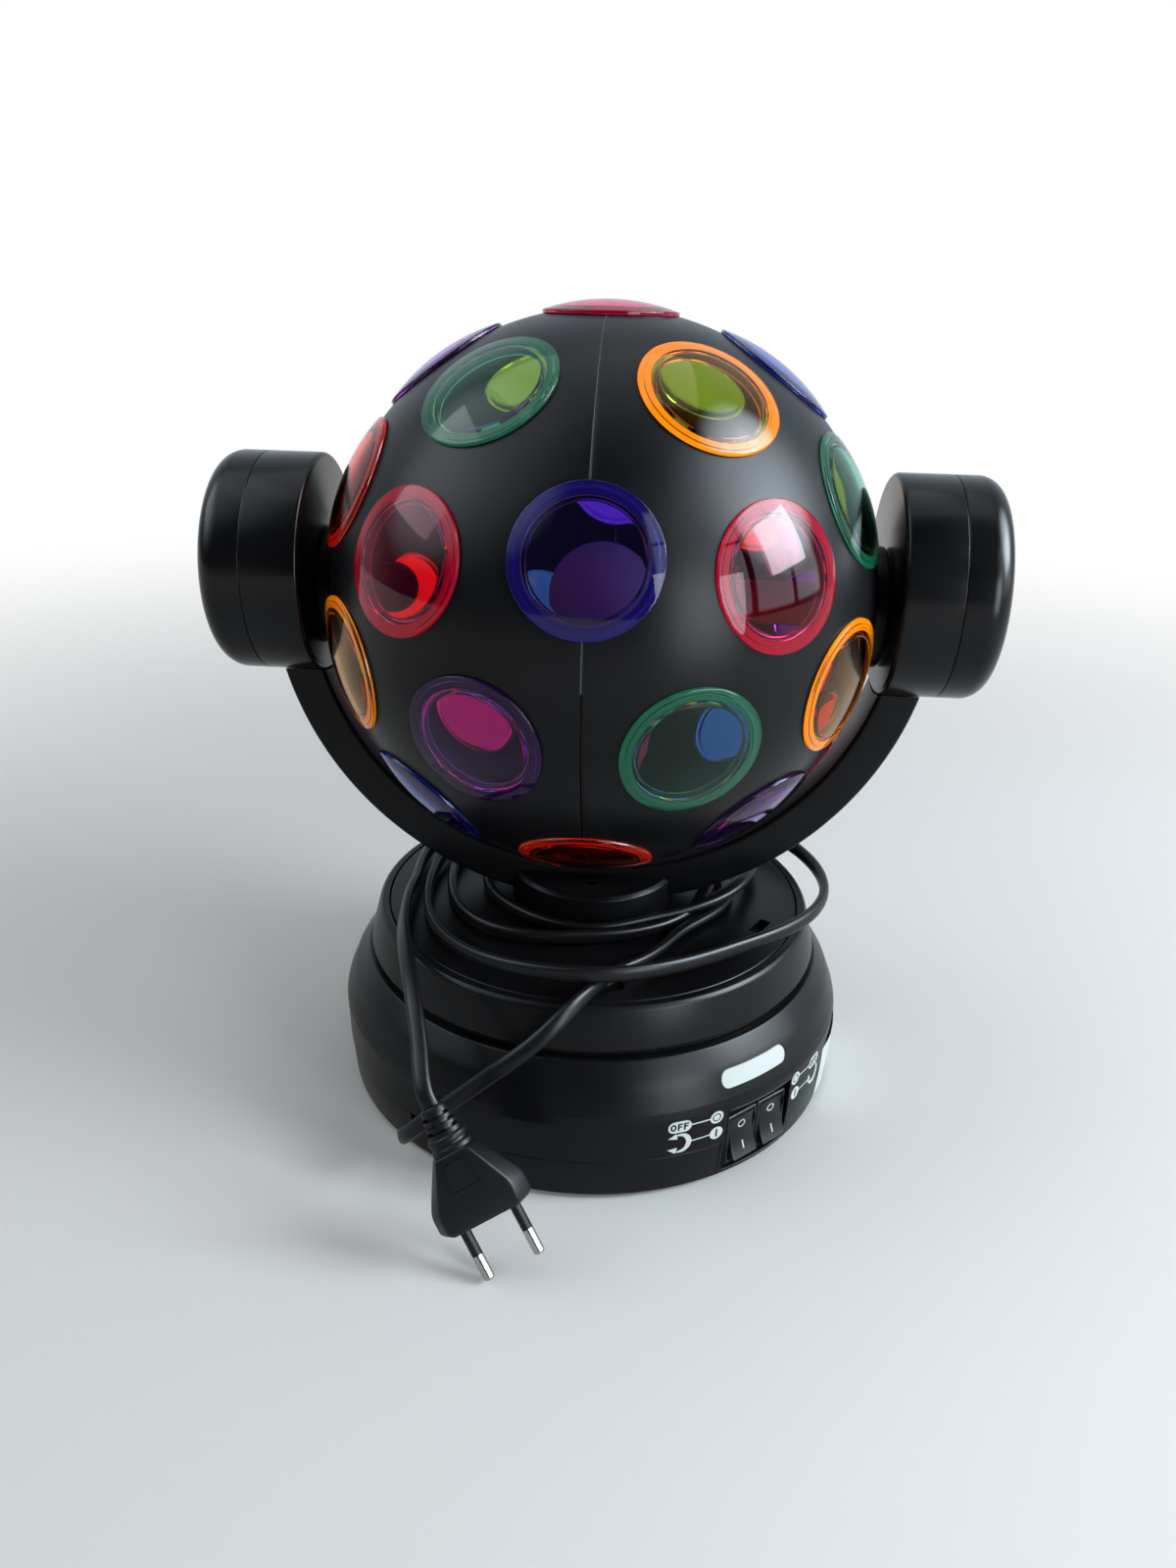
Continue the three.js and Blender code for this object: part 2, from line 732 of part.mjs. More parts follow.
function drumCup(side, boreRadius) {
  const bore = revolveX(
    disc(boreRadius, drumInnerFace - cutMargin, drumSeam), axleSides, ballCentreHeight, side,
  );
  return cut(revolveX(cupProfile, drumSides, drumCentreHeight, side), bore);
}
lamp.add(piece('drum_cup_left', drumCup(-1, motorShaftRadius + 2 * shaftGap), blackPlastic));
lamp.add(piece('drum_cup_right', drumCup(1, axleRadius + shaftGap), blackPlastic));
lamp.add(piece('drum_cap_left', revolveX(capProfile, drumSides, drumCentreHeight, -1), blackPlastic));
lamp.add(piece('drum_cap_right', revolveX(capProfile, drumSides, drumCentreHeight), blackPlastic));

// Ball motor in the left drum, its shaft in the left hub
const ballMotor = join(
  revolveX(disc(motorRadius, motorFace, motorFace + motorDepth), motorSides, ballCentreHeight, -1),
  revolveX(disc(motorShaftRadius, hubInner, motorFace + joinLap), motorShaftSides, ballCentreHeight, -1),
);
lamp.add(piece('ball_motor', ballMotor, metal));

// Lamp axle: a tube fixed in the right drum that the right hub turns on, with the lamp holder at its end
const axleProfile = [
  [axleBore, lampHolderTo - bulbCapRun],
  [axleBore, motorFace + axlePlateThickness],
  [axlePlateRadius, motorFace + axlePlateThickness],
  [axlePlateRadius, motorFace],
  [axleRadius, motorFace],
  [axleRadius, lampHolderTo],
  [lampHolderRadius, lampHolderTo],
  [lampHolderRadius, lampHolderFrom],
  [bulbNeckRadius + seatGap, lampHolderFrom],
  [bulbNeckRadius + seatGap, lampHolderTo - bulbCapRun],
  [axleBore, lampHolderTo - bulbCapRun],
];
lamp.add(piece('lamp_axle', revolveX(axleProfile, axleSides, ballCentreHeight), axleGrey));

// Lamp bulb: a globe on a neck that sits in the holder
const bulbArcEnd = THREE.MathUtils.radToDeg(Math.acos(bulbNeckRadius / bulbRadius));
const bulbArc = arcPoints(bulbRadius, -quarterTurn, bulbArcEnd, bulbSteps);
const bulbProfile = [
  ...bulbArc,
  [bulbNeckRadius, lampHolderTo - bulbCapRun],
  [0, lampHolderTo - bulbCapRun],
];
bulbProfile[0][0] = 0;
lamp.add(piece('lamp_bulb', revolveX(bulbProfile, bulbSides, ballCentreHeight), bulbWhite));

// Lens places: the direction from the ball's centre through each lens
function lensTurn(ringOff, angle) {
  const off = degrees(ringOff);
  const around = degrees(angle);
  const direction = new THREE.Vector3(
    Math.sin(off), -Math.cos(off) * Math.cos(around), Math.cos(off) * Math.sin(around),
  );
  return new THREE.Quaternion().setFromUnitVectors(zAxis, direction);
}

function atLens(geometry, turn) {
  geometry.applyQuaternion(turn);
  geometry.translate(0, 0, ballCentreHeight);
  return geometry;
}

const lensPlaces = [];
for (const group of lensRings) {
  for (let i = 0; i < lensesPerRing; i += 1) {
    const turn = lensTurn(group.off, group.start + (fullTurn * i) / lensesPerRing);
    lensPlaces.push({ name: `${group.name}_${i + 1}`, turn, hue: group.hues[i], off: group.off });
  }
}

// Lens sizes that follow the ball
const lensFlangeRadius = ballRadius * Math.sin(degrees(lensHalfAngle));
const lensSkirtRadius = lensFlangeRadius - lensLedge;
const lensApex = ballRadius + lensRise;

// Ball halves: thin shells that meet at the middle plane, with a hub each and a round hole under each lens
const holeRadius = lensSkirtRadius + lensHoleGap;
const rimAngle = THREE.MathUtils.radToDeg(Math.asin(holeRadius / ballRadius));
const lensDirections = lensPlaces.map((place) => zAxis.clone().applyQuaternion(place.turn));

function clearOfLenses(direction, margin) {
  return lensDirections.every((d) => THREE.MathUtils.radToDeg(d.angleTo(direction)) > rimAngle + margin);
}

// Points of one half on a unit ball, each with the name of the hole rim or seam that it lies on
function halfPoints(side) {
  const points = [];
  const rise = Math.sqrt(ballRadius ** 2 - holeRadius ** 2);
  for (const place of lensPlaces) {
    if (place.off * side < 0) continue;
    for (let k = 0; k < lensSides; k += 1) {
      const turn = (2 * Math.PI * k) / lensSides;
      const p = new THREE.Vector3(holeRadius * Math.sin(turn), holeRadius * Math.cos(turn), rise);
      p.applyQuaternion(place.turn).divideScalar(ballRadius);
      const onSeam = Math.abs(p.x) < planeShare;
      if (onSeam) p.x = 0;
      if (p.x * side >= 0) points.push({ p, rim: place.name, onSeam });
    }
  }
  for (let angle = 0; angle < fullTurn; angle += seamStep) {
    const p = new THREE.Vector3(0, -Math.cos(degrees(angle)), Math.sin(degrees(angle)));
    if (clearOfLenses(p, seamMargin)) points.push({ p, rim: '', onSeam: true });
  }
  const hubX = Math.sqrt(ballRadius ** 2 - hubRadius ** 2) / ballRadius;
  for (let off = fillStep; off < quarterTurn; off += fillStep) {
    const around = Math.round((fullTurn / fillStep) * Math.cos(degrees(off)));
    for (let k = 0; k < around; k += 1) {
      const turn = degrees((fullTurn * k) / around);
      const flat = Math.cos(degrees(off));
      const p = new THREE.Vector3(
        side * Math.sin(degrees(off)), -flat * Math.cos(turn), flat * Math.sin(turn),
      );
      if (Math.abs(p.x) < hubX && clearOfLenses(p, fillMargin)) points.push({ p, rim: '', onSeam: false });
    }
  }
  for (let k = 0; k < hubSides; k += 1) {
    const turn = (2 * Math.PI * k) / hubSides;
    const flat = hubRadius / ballRadius;
    points.push({ p: new THREE.Vector3(side * hubX, flat * Math.cos(turn), flat * Math.sin(turn)), rim: '' });
  }
  return points;
}

// A thin skin over the points: outer and inner faces, joined by walls along every open edge
function halfSkin(side) {
  const marked = halfPoints(side);
  const index = new Map(marked.map((m, i) => [m.p, i]));
  const hull = new ConvexHull().setFromPoints(marked.map((m) => m.p));
  const outer = [];
  for (const face of hull.faces) {
    const corners = [];
    let edge = face.edge;
    do {
      corners.push(index.get(edge.head().point));
      edge = edge.next;
    } while (edge !== face.edge);
    const sameRim = marked[corners[0]].rim && corners.every((i) => marked[i].rim === marked[corners[0]].rim);
    if (!sameRim && !corners.every((i) => marked[i].onSeam)) outer.push(corners);
  }
  const edges = new Set();
  for (const [i, j, k] of outer) {
    edges.add(`${i} ${j}`).add(`${j} ${k}`).add(`${k} ${i}`);
  }
  const count = marked.length;
  const positions = [];
  for (const radius of [ballRadius, ballRadius - ballWall]) {
    for (const m of marked) positions.push(m.p.x * radius, m.p.y * radius, m.p.z * radius + ballCentreHeight);
  }
  const faces = [];
  for (const [i, j, k] of outer) faces.push(i, j, k, i + count, k + count, j + count);
  for (const edge of edges) {
    const [i, j] = edge.split(' ').map(Number);
    if (!edges.has(`${j} ${i}`)) faces.push(j, i, i + count, j, i + count, j + count);
  }
  const geometry = new THREE.BufferGeometry();
  geometry.setAttribute('position', new THREE.Float32BufferAttribute(positions, 3));
  geometry.setIndex(faces);
  return geometry;
}

function halfShell(side, boreRadius) {
  const hub = revolveX(disc(hubRadius, hubInner, hubEnd), hubSides, ballCentreHeight, side);
  const bore = revolveX(
    disc(boreRadius, hubInner - cutMargin, hubEnd + cutMargin), axleSides, ballCentreHeight, side,
  );
  return cut(join(halfSkin(side), hub), bore);
}
lamp.add(piece('shell_left', halfShell(-1, motorShaftRadius + shaftGap), blackPlastic));
lamp.add(piece('shell_right', halfShell(1, axleRadius + shaftGap), blackPlastic));

// Lenses: domed discs whose flange lies on the ball and whose skirt stands in the hole
const seatAt = (r) => Math.sqrt(ballRadius ** 2 - r ** 2) + lensSeat;
const lensRimTop = seatAt(lensFlangeRadius) + lensRimThickness;
const lensSkirtBottom = ballRadius - lensSkirtDepth;
const lensProfile = [
  [0, lensApex],
  [lensFlangeRadius * lensShoulderShare, lensApex - lensShoulderDrop],
  [lensFlangeRadius, lensRimTop],
  [lensFlangeRadius, seatAt(lensFlangeRadius)],
  [lensSkirtRadius, seatAt(lensSkirtRadius)],
  [lensSkirtRadius, lensSkirtBottom],
  [lensSkirtRadius - lensSkirtWall, lensSkirtBottom],
  [lensSkirtRadius - lensSkirtWall, lensRimTop - lensRimWall],
  [0, lensApex - lensThickness],
];
for (const place of lensPlaces) {
  const lens = revolveZ(lensProfile, lensSides);
  lamp.add(piece(place.name, atLens(lens, place.turn), standard(lensColours[place.hue], 0.05)));
}

// Winding of the cord: radius, height and lie at any turn, smoothly through the rows
function windingState(angle) {
  const at = (angle / fullTurn) * windingStations;
  const i = Math.min(Math.max(Math.floor(at), 0), windingRows.length - 2);
  const t = at - i;
  const row = (k) => windingRows[Math.min(Math.max(k, 0), windingRows.length - 1)];
  return [0, 1, 2].map((k) => {
    const [p0, p1, p2, p3] = [row(i - 1)[k], row(i)[k], row(i + 1)[k], row(i + 2)[k]];
    return p1 + (t * (p2 - p0 + t * (2 * p0 - 5 * p1 + 4 * p2 - p3 + t * (3 * (p1 - p2) + p3 - p0)))) / 2;
  });
}

function windingPoint(angle) {
  const [radius, height] = windingState(angle);
  return new THREE.Vector3(radius * Math.sin(degrees(angle)), -radius * Math.cos(degrees(angle)), height);
}

function windingAlong(angle) {
  return windingPoint(angle + windingSlice).sub(windingPoint(angle - windingSlice)).normalize();
}

// A section across the cord, six-sided: two tips across its width and two flat faces, moved along by a run
function windingSection(angle, run = 0) {
  const along = windingAlong(angle);
  const across = new THREE.Vector3().crossVectors(along, zAxis).normalize();
  const up = new THREE.Vector3().crossVectors(across, along).normalize();
  const lie = degrees(quarterTurn * (1 - Math.min(Math.max(windingState(angle)[2], 0), 1)));
  const wide = up.clone().multiplyScalar(Math.cos(lie)).addScaledVector(across, Math.sin(lie));
  const thin = across.clone().multiplyScalar(Math.cos(lie)).addScaledVector(up, -Math.sin(lie));
  const centre = windingPoint(angle).addScaledVector(along, run);
  const shoulder = windingShoulderShare;
  const outline = [[1, 0], [shoulder, 1], [-shoulder, 1], [-1, 0], [-shoulder, -1], [shoulder, -1]];
  return outline.map(([w, t]) => centre.clone()
    .addScaledVector(wide, (w * cordWidth) / 2)
    .addScaledVector(thin, (t * cordThickness) / 2));
}

// The winding's sections, with a straight run at each end
function windingSections(perTurn) {
  const count = Math.round(((windingTo - windingFrom) / fullTurn) * perTurn);
  const sections = [windingSection(windingFrom, -cordWidth)];
  for (let i = 0; i <= count; i += 1) {
    sections.push(windingSection(windingFrom + ((windingTo - windingFrom) * i) / count));
  }
  sections.push(windingSection(windingTo, cordWidth));
  return sections;
}

function windingGeometry() {
  const sections = windingSections(windingStepsPerTurn);
  const last = (sections.length - 1) * windingSides;
  const positions = [];
  const faces = [];
  for (const section of sections) {
    for (const p of section) positions.push(p.x, p.y, p.z);
  }
  for (let i = 0; i < sections.length - 1; i += 1) {
    for (let k = 0; k < windingSides; k += 1) {
      const [a, b] = [i * windingSides + k, i * windingSides + ((k + 1) % windingSides)];
      faces.push(a, b, b + windingSides, a, b + windingSides, a + windingSides);
    }
  }
  for (let k = 1; k < windingSides - 1; k += 1) {
    faces.push(0, k + 1, k);
    faces.push(last, last + k, last + k + 1);
  }
  const geometry = new THREE.BufferGeometry();
  geometry.setAttribute('position', new THREE.Float32BufferAttribute(positions, 3));
  geometry.setIndex(faces);
  return geometry;
}
lamp.add(piece('cord_winding', windingGeometry(), cordBlack));

// Least gap of the winding to itself, on points round every section
function windingGap() {
  const perTurn = windingStepsPerTurn * gapSteps;
  const rows = windingSections(perTurn).map((section) => section.flatMap((p, k) => {
    const q = section[(k + 1) % windingSides];
    return [p, p.clone().lerp(q, 1 / 3), p.clone().lerp(q, 2 / 3)];
  }));
  let least = Infinity;
  for (let i = 0; i < rows.length; i += 1) {
    for (let j = i + perTurn / 2; j < rows.length; j += 1) {
      if (rows[i][0].distanceTo(rows[j][0]) > gapReach) continue;
      for (const p of rows[i]) {
        for (const q of rows[j]) least = Math.min(least, p.distanceTo(q));
      }
    }
  }
  return least;
}
console.log(`winding: least gap to itself ${windingGap().toFixed(2)} mm`);

// Free stretches: from the wall of the base to the winding, and from the winding to the plug
const vector = (p) => new THREE.Vector3(...p);
function cordTube(points) {
  const curve = new THREE.CatmullRomCurve3(points, false, 'centripetal');
  const section = new THREE.Shape();
  for (let k = 0; k < cordSides; k += 1) {
    const turn = (2 * Math.PI * k) / cordSides;
    const [x, y] = [(cordWidth / 2) * Math.cos(turn), (cordWidth / 2) * Math.sin(turn)];
    if (k) section.lineTo(x, y);
    else section.moveTo(x, y);
  }
  const steps = Math.round(curve.getLength() / cordStep);
  return new THREE.ExtrudeGeometry(section, { extrudePath: curve, steps, bevelEnabled: false });
}

function beyondWinding(angle, distance) {
  return windingPoint(angle).addScaledVector(windingAlong(angle), distance);
}

const exitWay = new THREE.Vector3(Math.sin(degrees(exitAngle)), -Math.cos(degrees(exitAngle)), 0);
const exitStart = exitWay.clone().multiplyScalar(exitInner);
exitStart.z = exitHeight;
const tubeStart = cordWidth + seatGap;
const baseCord = [
  exitStart, ...baseCordRoute.map(vector),
  beyondWinding(windingFrom, -tubeStart - cordWidth / 2), beyondWinding(windingFrom, -tubeStart),
];
lamp.add(piece('cord_base_end', cordTube(baseCord), cordBlack));

// Plug directions and pieces
const pinWay = vector(plugPinDirection).normalize();
const acrossWay = vector(plugAcross);
acrossWay.addScaledVector(pinWay, -acrossWay.dot(pinWay)).normalize();
const frontWay = new THREE.Vector3().crossVectors(acrossWay, pinWay).normalize();
const plugPlace = new THREE.Matrix4().makeBasis(acrossWay, frontWay, pinWay.clone());
plugPlace.setPosition(vector(plugFaceCentre));

function inPlug(geometry) {
  geometry.applyMatrix4(plugPlace);
  return geometry;
}

function plugBody() {
  const half = plugWidth / 2 - plugBevel;
  const shape = new THREE.Shape();
  const outline = [
    [plugFaceWidth / 2 - plugBevel, -plugBevel],
    [half, -plugChamferRun - plugBevel / 2],
    [half, -plugStraightRun],
    [plugShoulderWidth / 2 - plugBevel, -plugBodyLength + plugBevel],
  ];
  const whole = [...outline, ...outline.slice().reverse().map(([x, z]) => [-x, z])];
  whole.forEach(([x, z], i) => (i ? shape.lineTo(x, z) : shape.moveTo(x, z)));
  const body = new THREE.ExtrudeGeometry(shape, {
    depth: plugThickness - 2 * plugBevel,
    bevelEnabled: true,
    bevelThickness: plugBevel,
    bevelSize: plugBevel,
    bevelSegments: 1,
  });
  body.translate(0, 0, -(plugThickness - 2 * plugBevel) / 2);
  body.rotateX(-Math.PI / 2);
  body.scale(1, -1, -1);
  const rib = reliefLength / (2 * reliefRibs);
  const profile = [[0, -plugBodyLength + reliefSink], [reliefWidth / 2, -plugBodyLength + reliefSink]];
  for (let i = 0; i < reliefRibs; i += 1) {
    const taper = (k) => (reliefWidth + ((reliefEndWidth - reliefWidth) * k) / (2 * reliefRibs)) / 2;
    const top = -plugBodyLength - 2 * i * rib;
    if (i) profile.push([taper(2 * i), top]);
    profile.push([taper(2 * i + 1), top - rib]);
    if (i < reliefRibs - 1) {
      profile.push([taper(2 * i + 1) - reliefGrooveDepth, top - rib]);
      profile.push([taper(2 * i + 2) - reliefGrooveDepth, top - 2 * rib]);
    }
  }
  const end = -plugBodyLength - reliefLength;
  profile.push([reliefEndWidth / 2, end], [0, end]);
  const relief = revolveZ(profile, reliefSides);
  relief.scale(1, reliefFlatShare, 1);
  return join(body, relief);
}
lamp.add(piece('plug_body', inPlug(plugBody()), cordBlack));
[-1, 1].forEach((side, i) => {
  const pin = revolveZ([
    [0, 0], [pinRadius, 0], [pinRadius, pinLength - pinTipRun], [pinRadius / 2, pinLength], [0, pinLength],
  ], pinSides);
  pin.translate((side * pinSpacing) / 2, 0, 0);
  lamp.add(piece(`plug_pin_${i + 1}`, inPlug(pin), metal));
});

const plugEntry = vector(plugFaceCentre).addScaledVector(pinWay, -plugBodyLength - reliefLength - seatGap);
const beforePlug = plugEntry.clone().addScaledVector(pinWay, -cordWidth);
const plugCord = [
  beyondWinding(windingTo, tubeStart), beyondWinding(windingTo, tubeStart + cordWidth / 2),
  ...plugCordRoute.map(vector), beforePlug, plugEntry,
];
lamp.add(piece('cord_plug_end', cordTube(plugCord), cordBlack));

export default lamp;
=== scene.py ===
import json
import math

import bmesh
import bpy
import numpy as np
from bpy.props import FloatProperty, FloatVectorProperty, PointerProperty
from mathutils import Matrix, Vector

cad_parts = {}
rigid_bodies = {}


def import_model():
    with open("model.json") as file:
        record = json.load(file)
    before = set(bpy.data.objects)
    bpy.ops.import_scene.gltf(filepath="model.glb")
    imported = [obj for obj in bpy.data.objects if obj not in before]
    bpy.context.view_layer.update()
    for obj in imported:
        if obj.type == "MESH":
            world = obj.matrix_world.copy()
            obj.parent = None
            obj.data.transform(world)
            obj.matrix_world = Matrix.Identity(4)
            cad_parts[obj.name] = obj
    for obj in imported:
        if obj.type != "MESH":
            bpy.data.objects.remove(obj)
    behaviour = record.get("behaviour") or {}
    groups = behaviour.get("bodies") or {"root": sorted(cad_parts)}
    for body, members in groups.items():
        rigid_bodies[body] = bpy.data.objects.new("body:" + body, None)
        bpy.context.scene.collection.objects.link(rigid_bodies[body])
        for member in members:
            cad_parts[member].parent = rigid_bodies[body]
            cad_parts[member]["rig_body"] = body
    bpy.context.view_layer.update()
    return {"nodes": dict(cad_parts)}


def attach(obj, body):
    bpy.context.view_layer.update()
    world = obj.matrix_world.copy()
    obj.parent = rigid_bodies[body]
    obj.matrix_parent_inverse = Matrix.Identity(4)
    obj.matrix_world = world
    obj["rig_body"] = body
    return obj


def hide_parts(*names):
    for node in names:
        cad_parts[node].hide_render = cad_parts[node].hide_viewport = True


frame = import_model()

bl_info = {
    "name": "Disco ball light",
    "version": (1, 0, 0),
    "blender": (4, 5, 0),
    "location": "3D View > Sidebar > Disco light",
    "description": "Builds the outer pieces, finishes and studio of a turning disco ball light",
    "category": "Object",
}

# Everything below is measured in millimetres and turned into metres when a mesh is made
MM = 0.001
TURN = 2 * math.pi
TINY = 1e-6
WELD = 2e-7
SMOOTH_ANGLE = 32
ROUND_STEP = 15
FINE_STEP = 6
# How much of a side a round corner may take, and the least lean that an inset corner is worked out for
CORNER_SHARE = 0.49
LEAST_LEAN = 0.4

# Sides of the turned pieces, and how far a cutting form reaches past what it cuts
BASE_SIDES = 288
DRUM_SIDES = 200
CUTTER_SIDES = 160
HOLE_SIDES = 96
LENS_SIDES = 80
LAMP_SIDES = 72
BORE_SIDES = 64
RELIEF_SIDES = 48
SMALL_SIDES = 40
CORD_SIDES = 18
LIP_SIDES = 10
CUT_MARGIN = 10.0

# Base, seen from the side; the rows of every profile are radius, height and the radius of the round corner
WIDEST = 102.0
BOTTOM = 1.2
BOTTOM_RADIUS = 100.0
PARTING = 17.3
PARTING_RADIUS = 101.5
PARTING_GAP = 0.1
DECK = 53.8
DECK_UNDER = 51.3
WALL_END = 91.5
FOOT_PROFILE = ((0, 0), (6.6, 0, 0.6), (7.0, 3.6), (0, 3.6))
FOOT_CIRCLE = 82.0
FOOT_COUNT = 4
BEARING_TUBE = ((16, DECK), (16, 66.7), (12.3, 66.7), (12.3, 40), (16, 40), (16, DECK_UNDER))
HOUSING_INNER = (
    (80.0, DECK_UNDER), (90.6, DECK_UNDER, 1.0), (94.9, 44.8, 3.0), (98.9, 34.0, 2.0), (99.0, PARTING + PARTING_GAP),
)
TONGUE_PROFILE = (
    (60, BOTTOM), (99.9, BOTTOM, 0.9), (101.45, PARTING), (WIDEST, 34.0), (101.4, 35.9), (60, 35.9),
)
EXIT_ANGLE = -35.5
EXIT_SLOT = (6.8, 14.0, 1.2)
EXIT_REACH = 12.0

# Switch pocket: a flat tongue of the housing in a notch of the cover; outlines are width, height and corner
POCKET_ANGLE = 42.4
POCKET_FACE = 97.5
POCKET_OUTLINE = (32.0, 27.5, 0.7)
POCKET_MIDDLE = 17.25
POCKET_CUT_END = 112.0
POCKET_LIP_MARGIN = 0.4
POCKET_LIP_CORNER = 0.9
POCKET_LIP_STEP = 1.5
TONGUE_WIDTH = 36.0
TONGUE_BACK = 95.5
TONGUE_TOP = 35.0
TONGUE_GAP = 0.3
CASE_HOLE_WIDTH = 14.0
CASE_HOLE_HALF = 10.25
CASE_HOLE_BACK = 85.0

# Switches: the rocker's face is a shallow hollow between two tips
SWITCH_HEIGHT = 16.0
SWITCH_PITCH = 15.2
SWITCH_SIDES = (-SWITCH_PITCH / 2, SWITCH_PITCH / 2)
BEZEL_OUTLINE = (15.0, 21.0, 0.9)
BEZEL_THICKNESS = 2.0
BEZEL_ROUND = 0.55
CASE_WIDTH = 13.6
CASE_HALF = 10.05
CASE_BACK = 84.0
CASE_FRONT = 98.5
WELL_OUTLINE = (12.4, 18.9, 0.5)
WELL_FLOOR = 87.0
CATCH_SIZE = (0.9, 3.0, 3.6)
CATCH_PLACE = (6.3, -99.2, 5.2)
ROCKER_PIVOT = 97.2
ROCKER_RADIUS = 9.2
ROCKER_TIP_ANGLE = 26.4
ROCKER_BACK_ANGLE = -19
ROCKER_END_STEPS = 8
ROCKER_HALF_WIDTH = 5.9
ROCKER_ROUND = 0.35
ROCKER_TILT = 11
FACE_HALF = 8.241
FACE_LOW = 2.5
FACE_RISE = 1.59
FACE_STEPS = 24
MARK_THICKNESS = 0.05
RING_MARK_PLACE = 4.4
RING_MARK_INNER = (1.4, 1.1)
RING_MARK_OUTER = (1.85, 1.55)
RING_MARK_STEPS = 32
BAR_MARK_HALF = 0.3
BAR_MARK_PLACES = (-5.8, -5.0, -4.2, -3.4, -2.6)

# Turning tier
TIER_TOP = 72.5
SPINDLE_RADIUS = 12.0
DISC_RADIUS = 82.9
DISC_UNDER = 69.5
DISC_HOLE = 9.0
TIER_PROFILE = (
    (3.3, 43), (SPINDLE_RADIUS, 43, 0.5), (SPINDLE_RADIUS, 67), (DISC_RADIUS, 67, 1.5), (86.6, 56.6, 0.5),
    (86.6, 54.1), (89, 54.1, 0.3), (89, 56.6), (91, 56.6, 0.7), (87.2, 71.2, 2.0), (86.0, TIER_TOP, 1.2),
    (83.3, TIER_TOP, 0.5), (83.3, DISC_UNDER), (DISC_HOLE, DISC_UNDER), (DISC_HOLE, 49), (3.3, 49),
)
DISC_PROFILE = (
    (DISC_HOLE, DISC_UNDER), (DISC_RADIUS, DISC_UNDER), (DISC_RADIUS, TIER_TOP, 0.7), (DISC_HOLE, TIER_TOP, 0.4),
)
DISC_SLOT = (11.0, 4.6, 0.6)
DISC_SLOT_PLACE = 71.0
DISC_SLOT_ANGLE = 70.7
DISC_SLOT_LIE = 61
SCREW_HOLLOW = ((0, 71.5), (2.7, 71.5, 0.3), (3.2, 71.9), (3.5, 80), (0, 80))
SCREW_HOLLOW_PLACE = 72.8
SCREW_HOLLOW_ANGLE = 10.1

# Ball: hubs reach towards the drums, and a domed blind boss stands inside the left half
BALL_RADIUS = 100.0
BALL_WALL = 3.0
BALL_HEIGHT = 196.2
RIGHT_HALF_PROUD = 0.06
HUB_RADIUS = 22.0
HUB_END = 101.9
HUB_ROUND = 0.9
BORE_ROUND = 0.3
HUB_START = 97.0
LEFT_BORE = 3.3
RIGHT_BORE = 8.3
BLIND_BOSS_RADIUS = 9.5
BLIND_BOSS_DOME = 79.0
BLIND_BOSS_FLOOR = 84.0
BLIND_BOSS_STEPS = 10
SEAM_EDGE = 0.3
SEAM_SOFT = 0.02
SEAM_RUN = 0.2
SEAM_ANGLE = 0.2
# Painted highlight on the seam: its chamfer faces on the upper half of the ball take a lighter grey that stands in for
# the light line the seam catches; how far from the seam, how far below the ball's middle, and which slopes of face take
# it
HIGHLIGHT_REACH = 0.25
HIGHLIGHT_DROP = 5.0
HIGHLIGHT_SLOPES = (0.2, 0.95)
SKIN_STEPS = 73
INNER_STEPS = 47
HOLE_RADIUS = 20.1
HOLE_FLOOR = 84.0
HOLE_REACH = 112.0

# Drums and yoke
DRUM_RADIUS = 39.9
DRUM_HEIGHT = 204.5
DRUM_INNER = 102.7
DRUM_SEAM = 123.3
DRUM_OUTER = 140.0
DRUM_WALL = 2.4
DRUM_EDGE = 1.8
DRUM_ROUND = 13.6
DRUM_ROUND_INSIDE = 11.5
DRUM_SEAM_ROUND = 0.3
SHAFT_BORE = 3.6
AXLE_BORE = 8.3
YOKE_INNER = 107.8
YOKE_OUTER = 122.6
YOKE_WIDTH = 25.6
YOKE_ROUND = 1.7
YOKE_FOOT = 25.5
YOKE_STEPS = 120
YOKE_DRUM_GAP = 0.3
BOSS_PROFILE = ((0, TIER_TOP), (33, TIER_TOP), (33, 84.5, 0.8), (31.5, 86, 0.7), (0, 86))
BOSS_STEP = 8
BOSS_SLOT = (4.6, 3.4, 0.5)
BOSS_SLOT_FLOOR = 83.0
BOSS_SLOT_PLACE = 20.0

# Lenses
LENS_RADIUS = 23.5
SKIRT_RADIUS = 19.2
SKIRT_WALL = 1.5
SKIRT_END = 95.2
LENS_APEX = 102.5
LENS_DOME = 72.8
LENS_THICKNESS = 1.9
LENS_HOLLOW = 16.4
LENS_SEAT_GAP = 0.12
LENS_EDGE = 0.6
LENS_STEPS = 30
LENS_UNDER_STEPS = 20
LENS_SMOOTH = 24
LENS_APART = 72
LENS_GROOVE = (20.2, 20.4, 21.4, 21.6)
LENS_GROOVE_DEPTH = 0.35
# Where the flange's underside begins, how far it faces down, and each hue's painted glow: how bright a tint is painted
# on the flange's underside, standing in for light carried round inside the clear flange
RIM_FROM = 0.3
RIM_TILT = 0.5
RIM_PAINTED_GLOW = {"indigo": 0.13, "crimson": 0.36, "violet": 0.03, "red": 0.60, "green": 0.16, "amber": 0.95, "blue": 0.16}
RIM_FLOOR = 0.04
LENS_RINGS = (
    ("middle", 0.0, 20.1, ("indigo", "crimson", "violet", "crimson", "red")),
    ("left_inner", -20.2, 56.1, ("green", "amber", "green", "blue", "violet")),
    ("right_inner", 20.2, 56.1, ("amber", "green", "red", "violet", "green")),
    ("left_second", -35.7, 20.1, ("crimson", "violet", "blue", "crimson", "blue")),
    ("right_second", 35.7, 20.1, ("crimson", "blue", "amber", "blue", "violet")),
    ("left_outer", -58.0, 56.1, ("red", "green", "red", "violet", "amber")),
    ("right_outer", 58.0, 56.1, ("green", "amber", "blue", "crimson", "amber")),
)

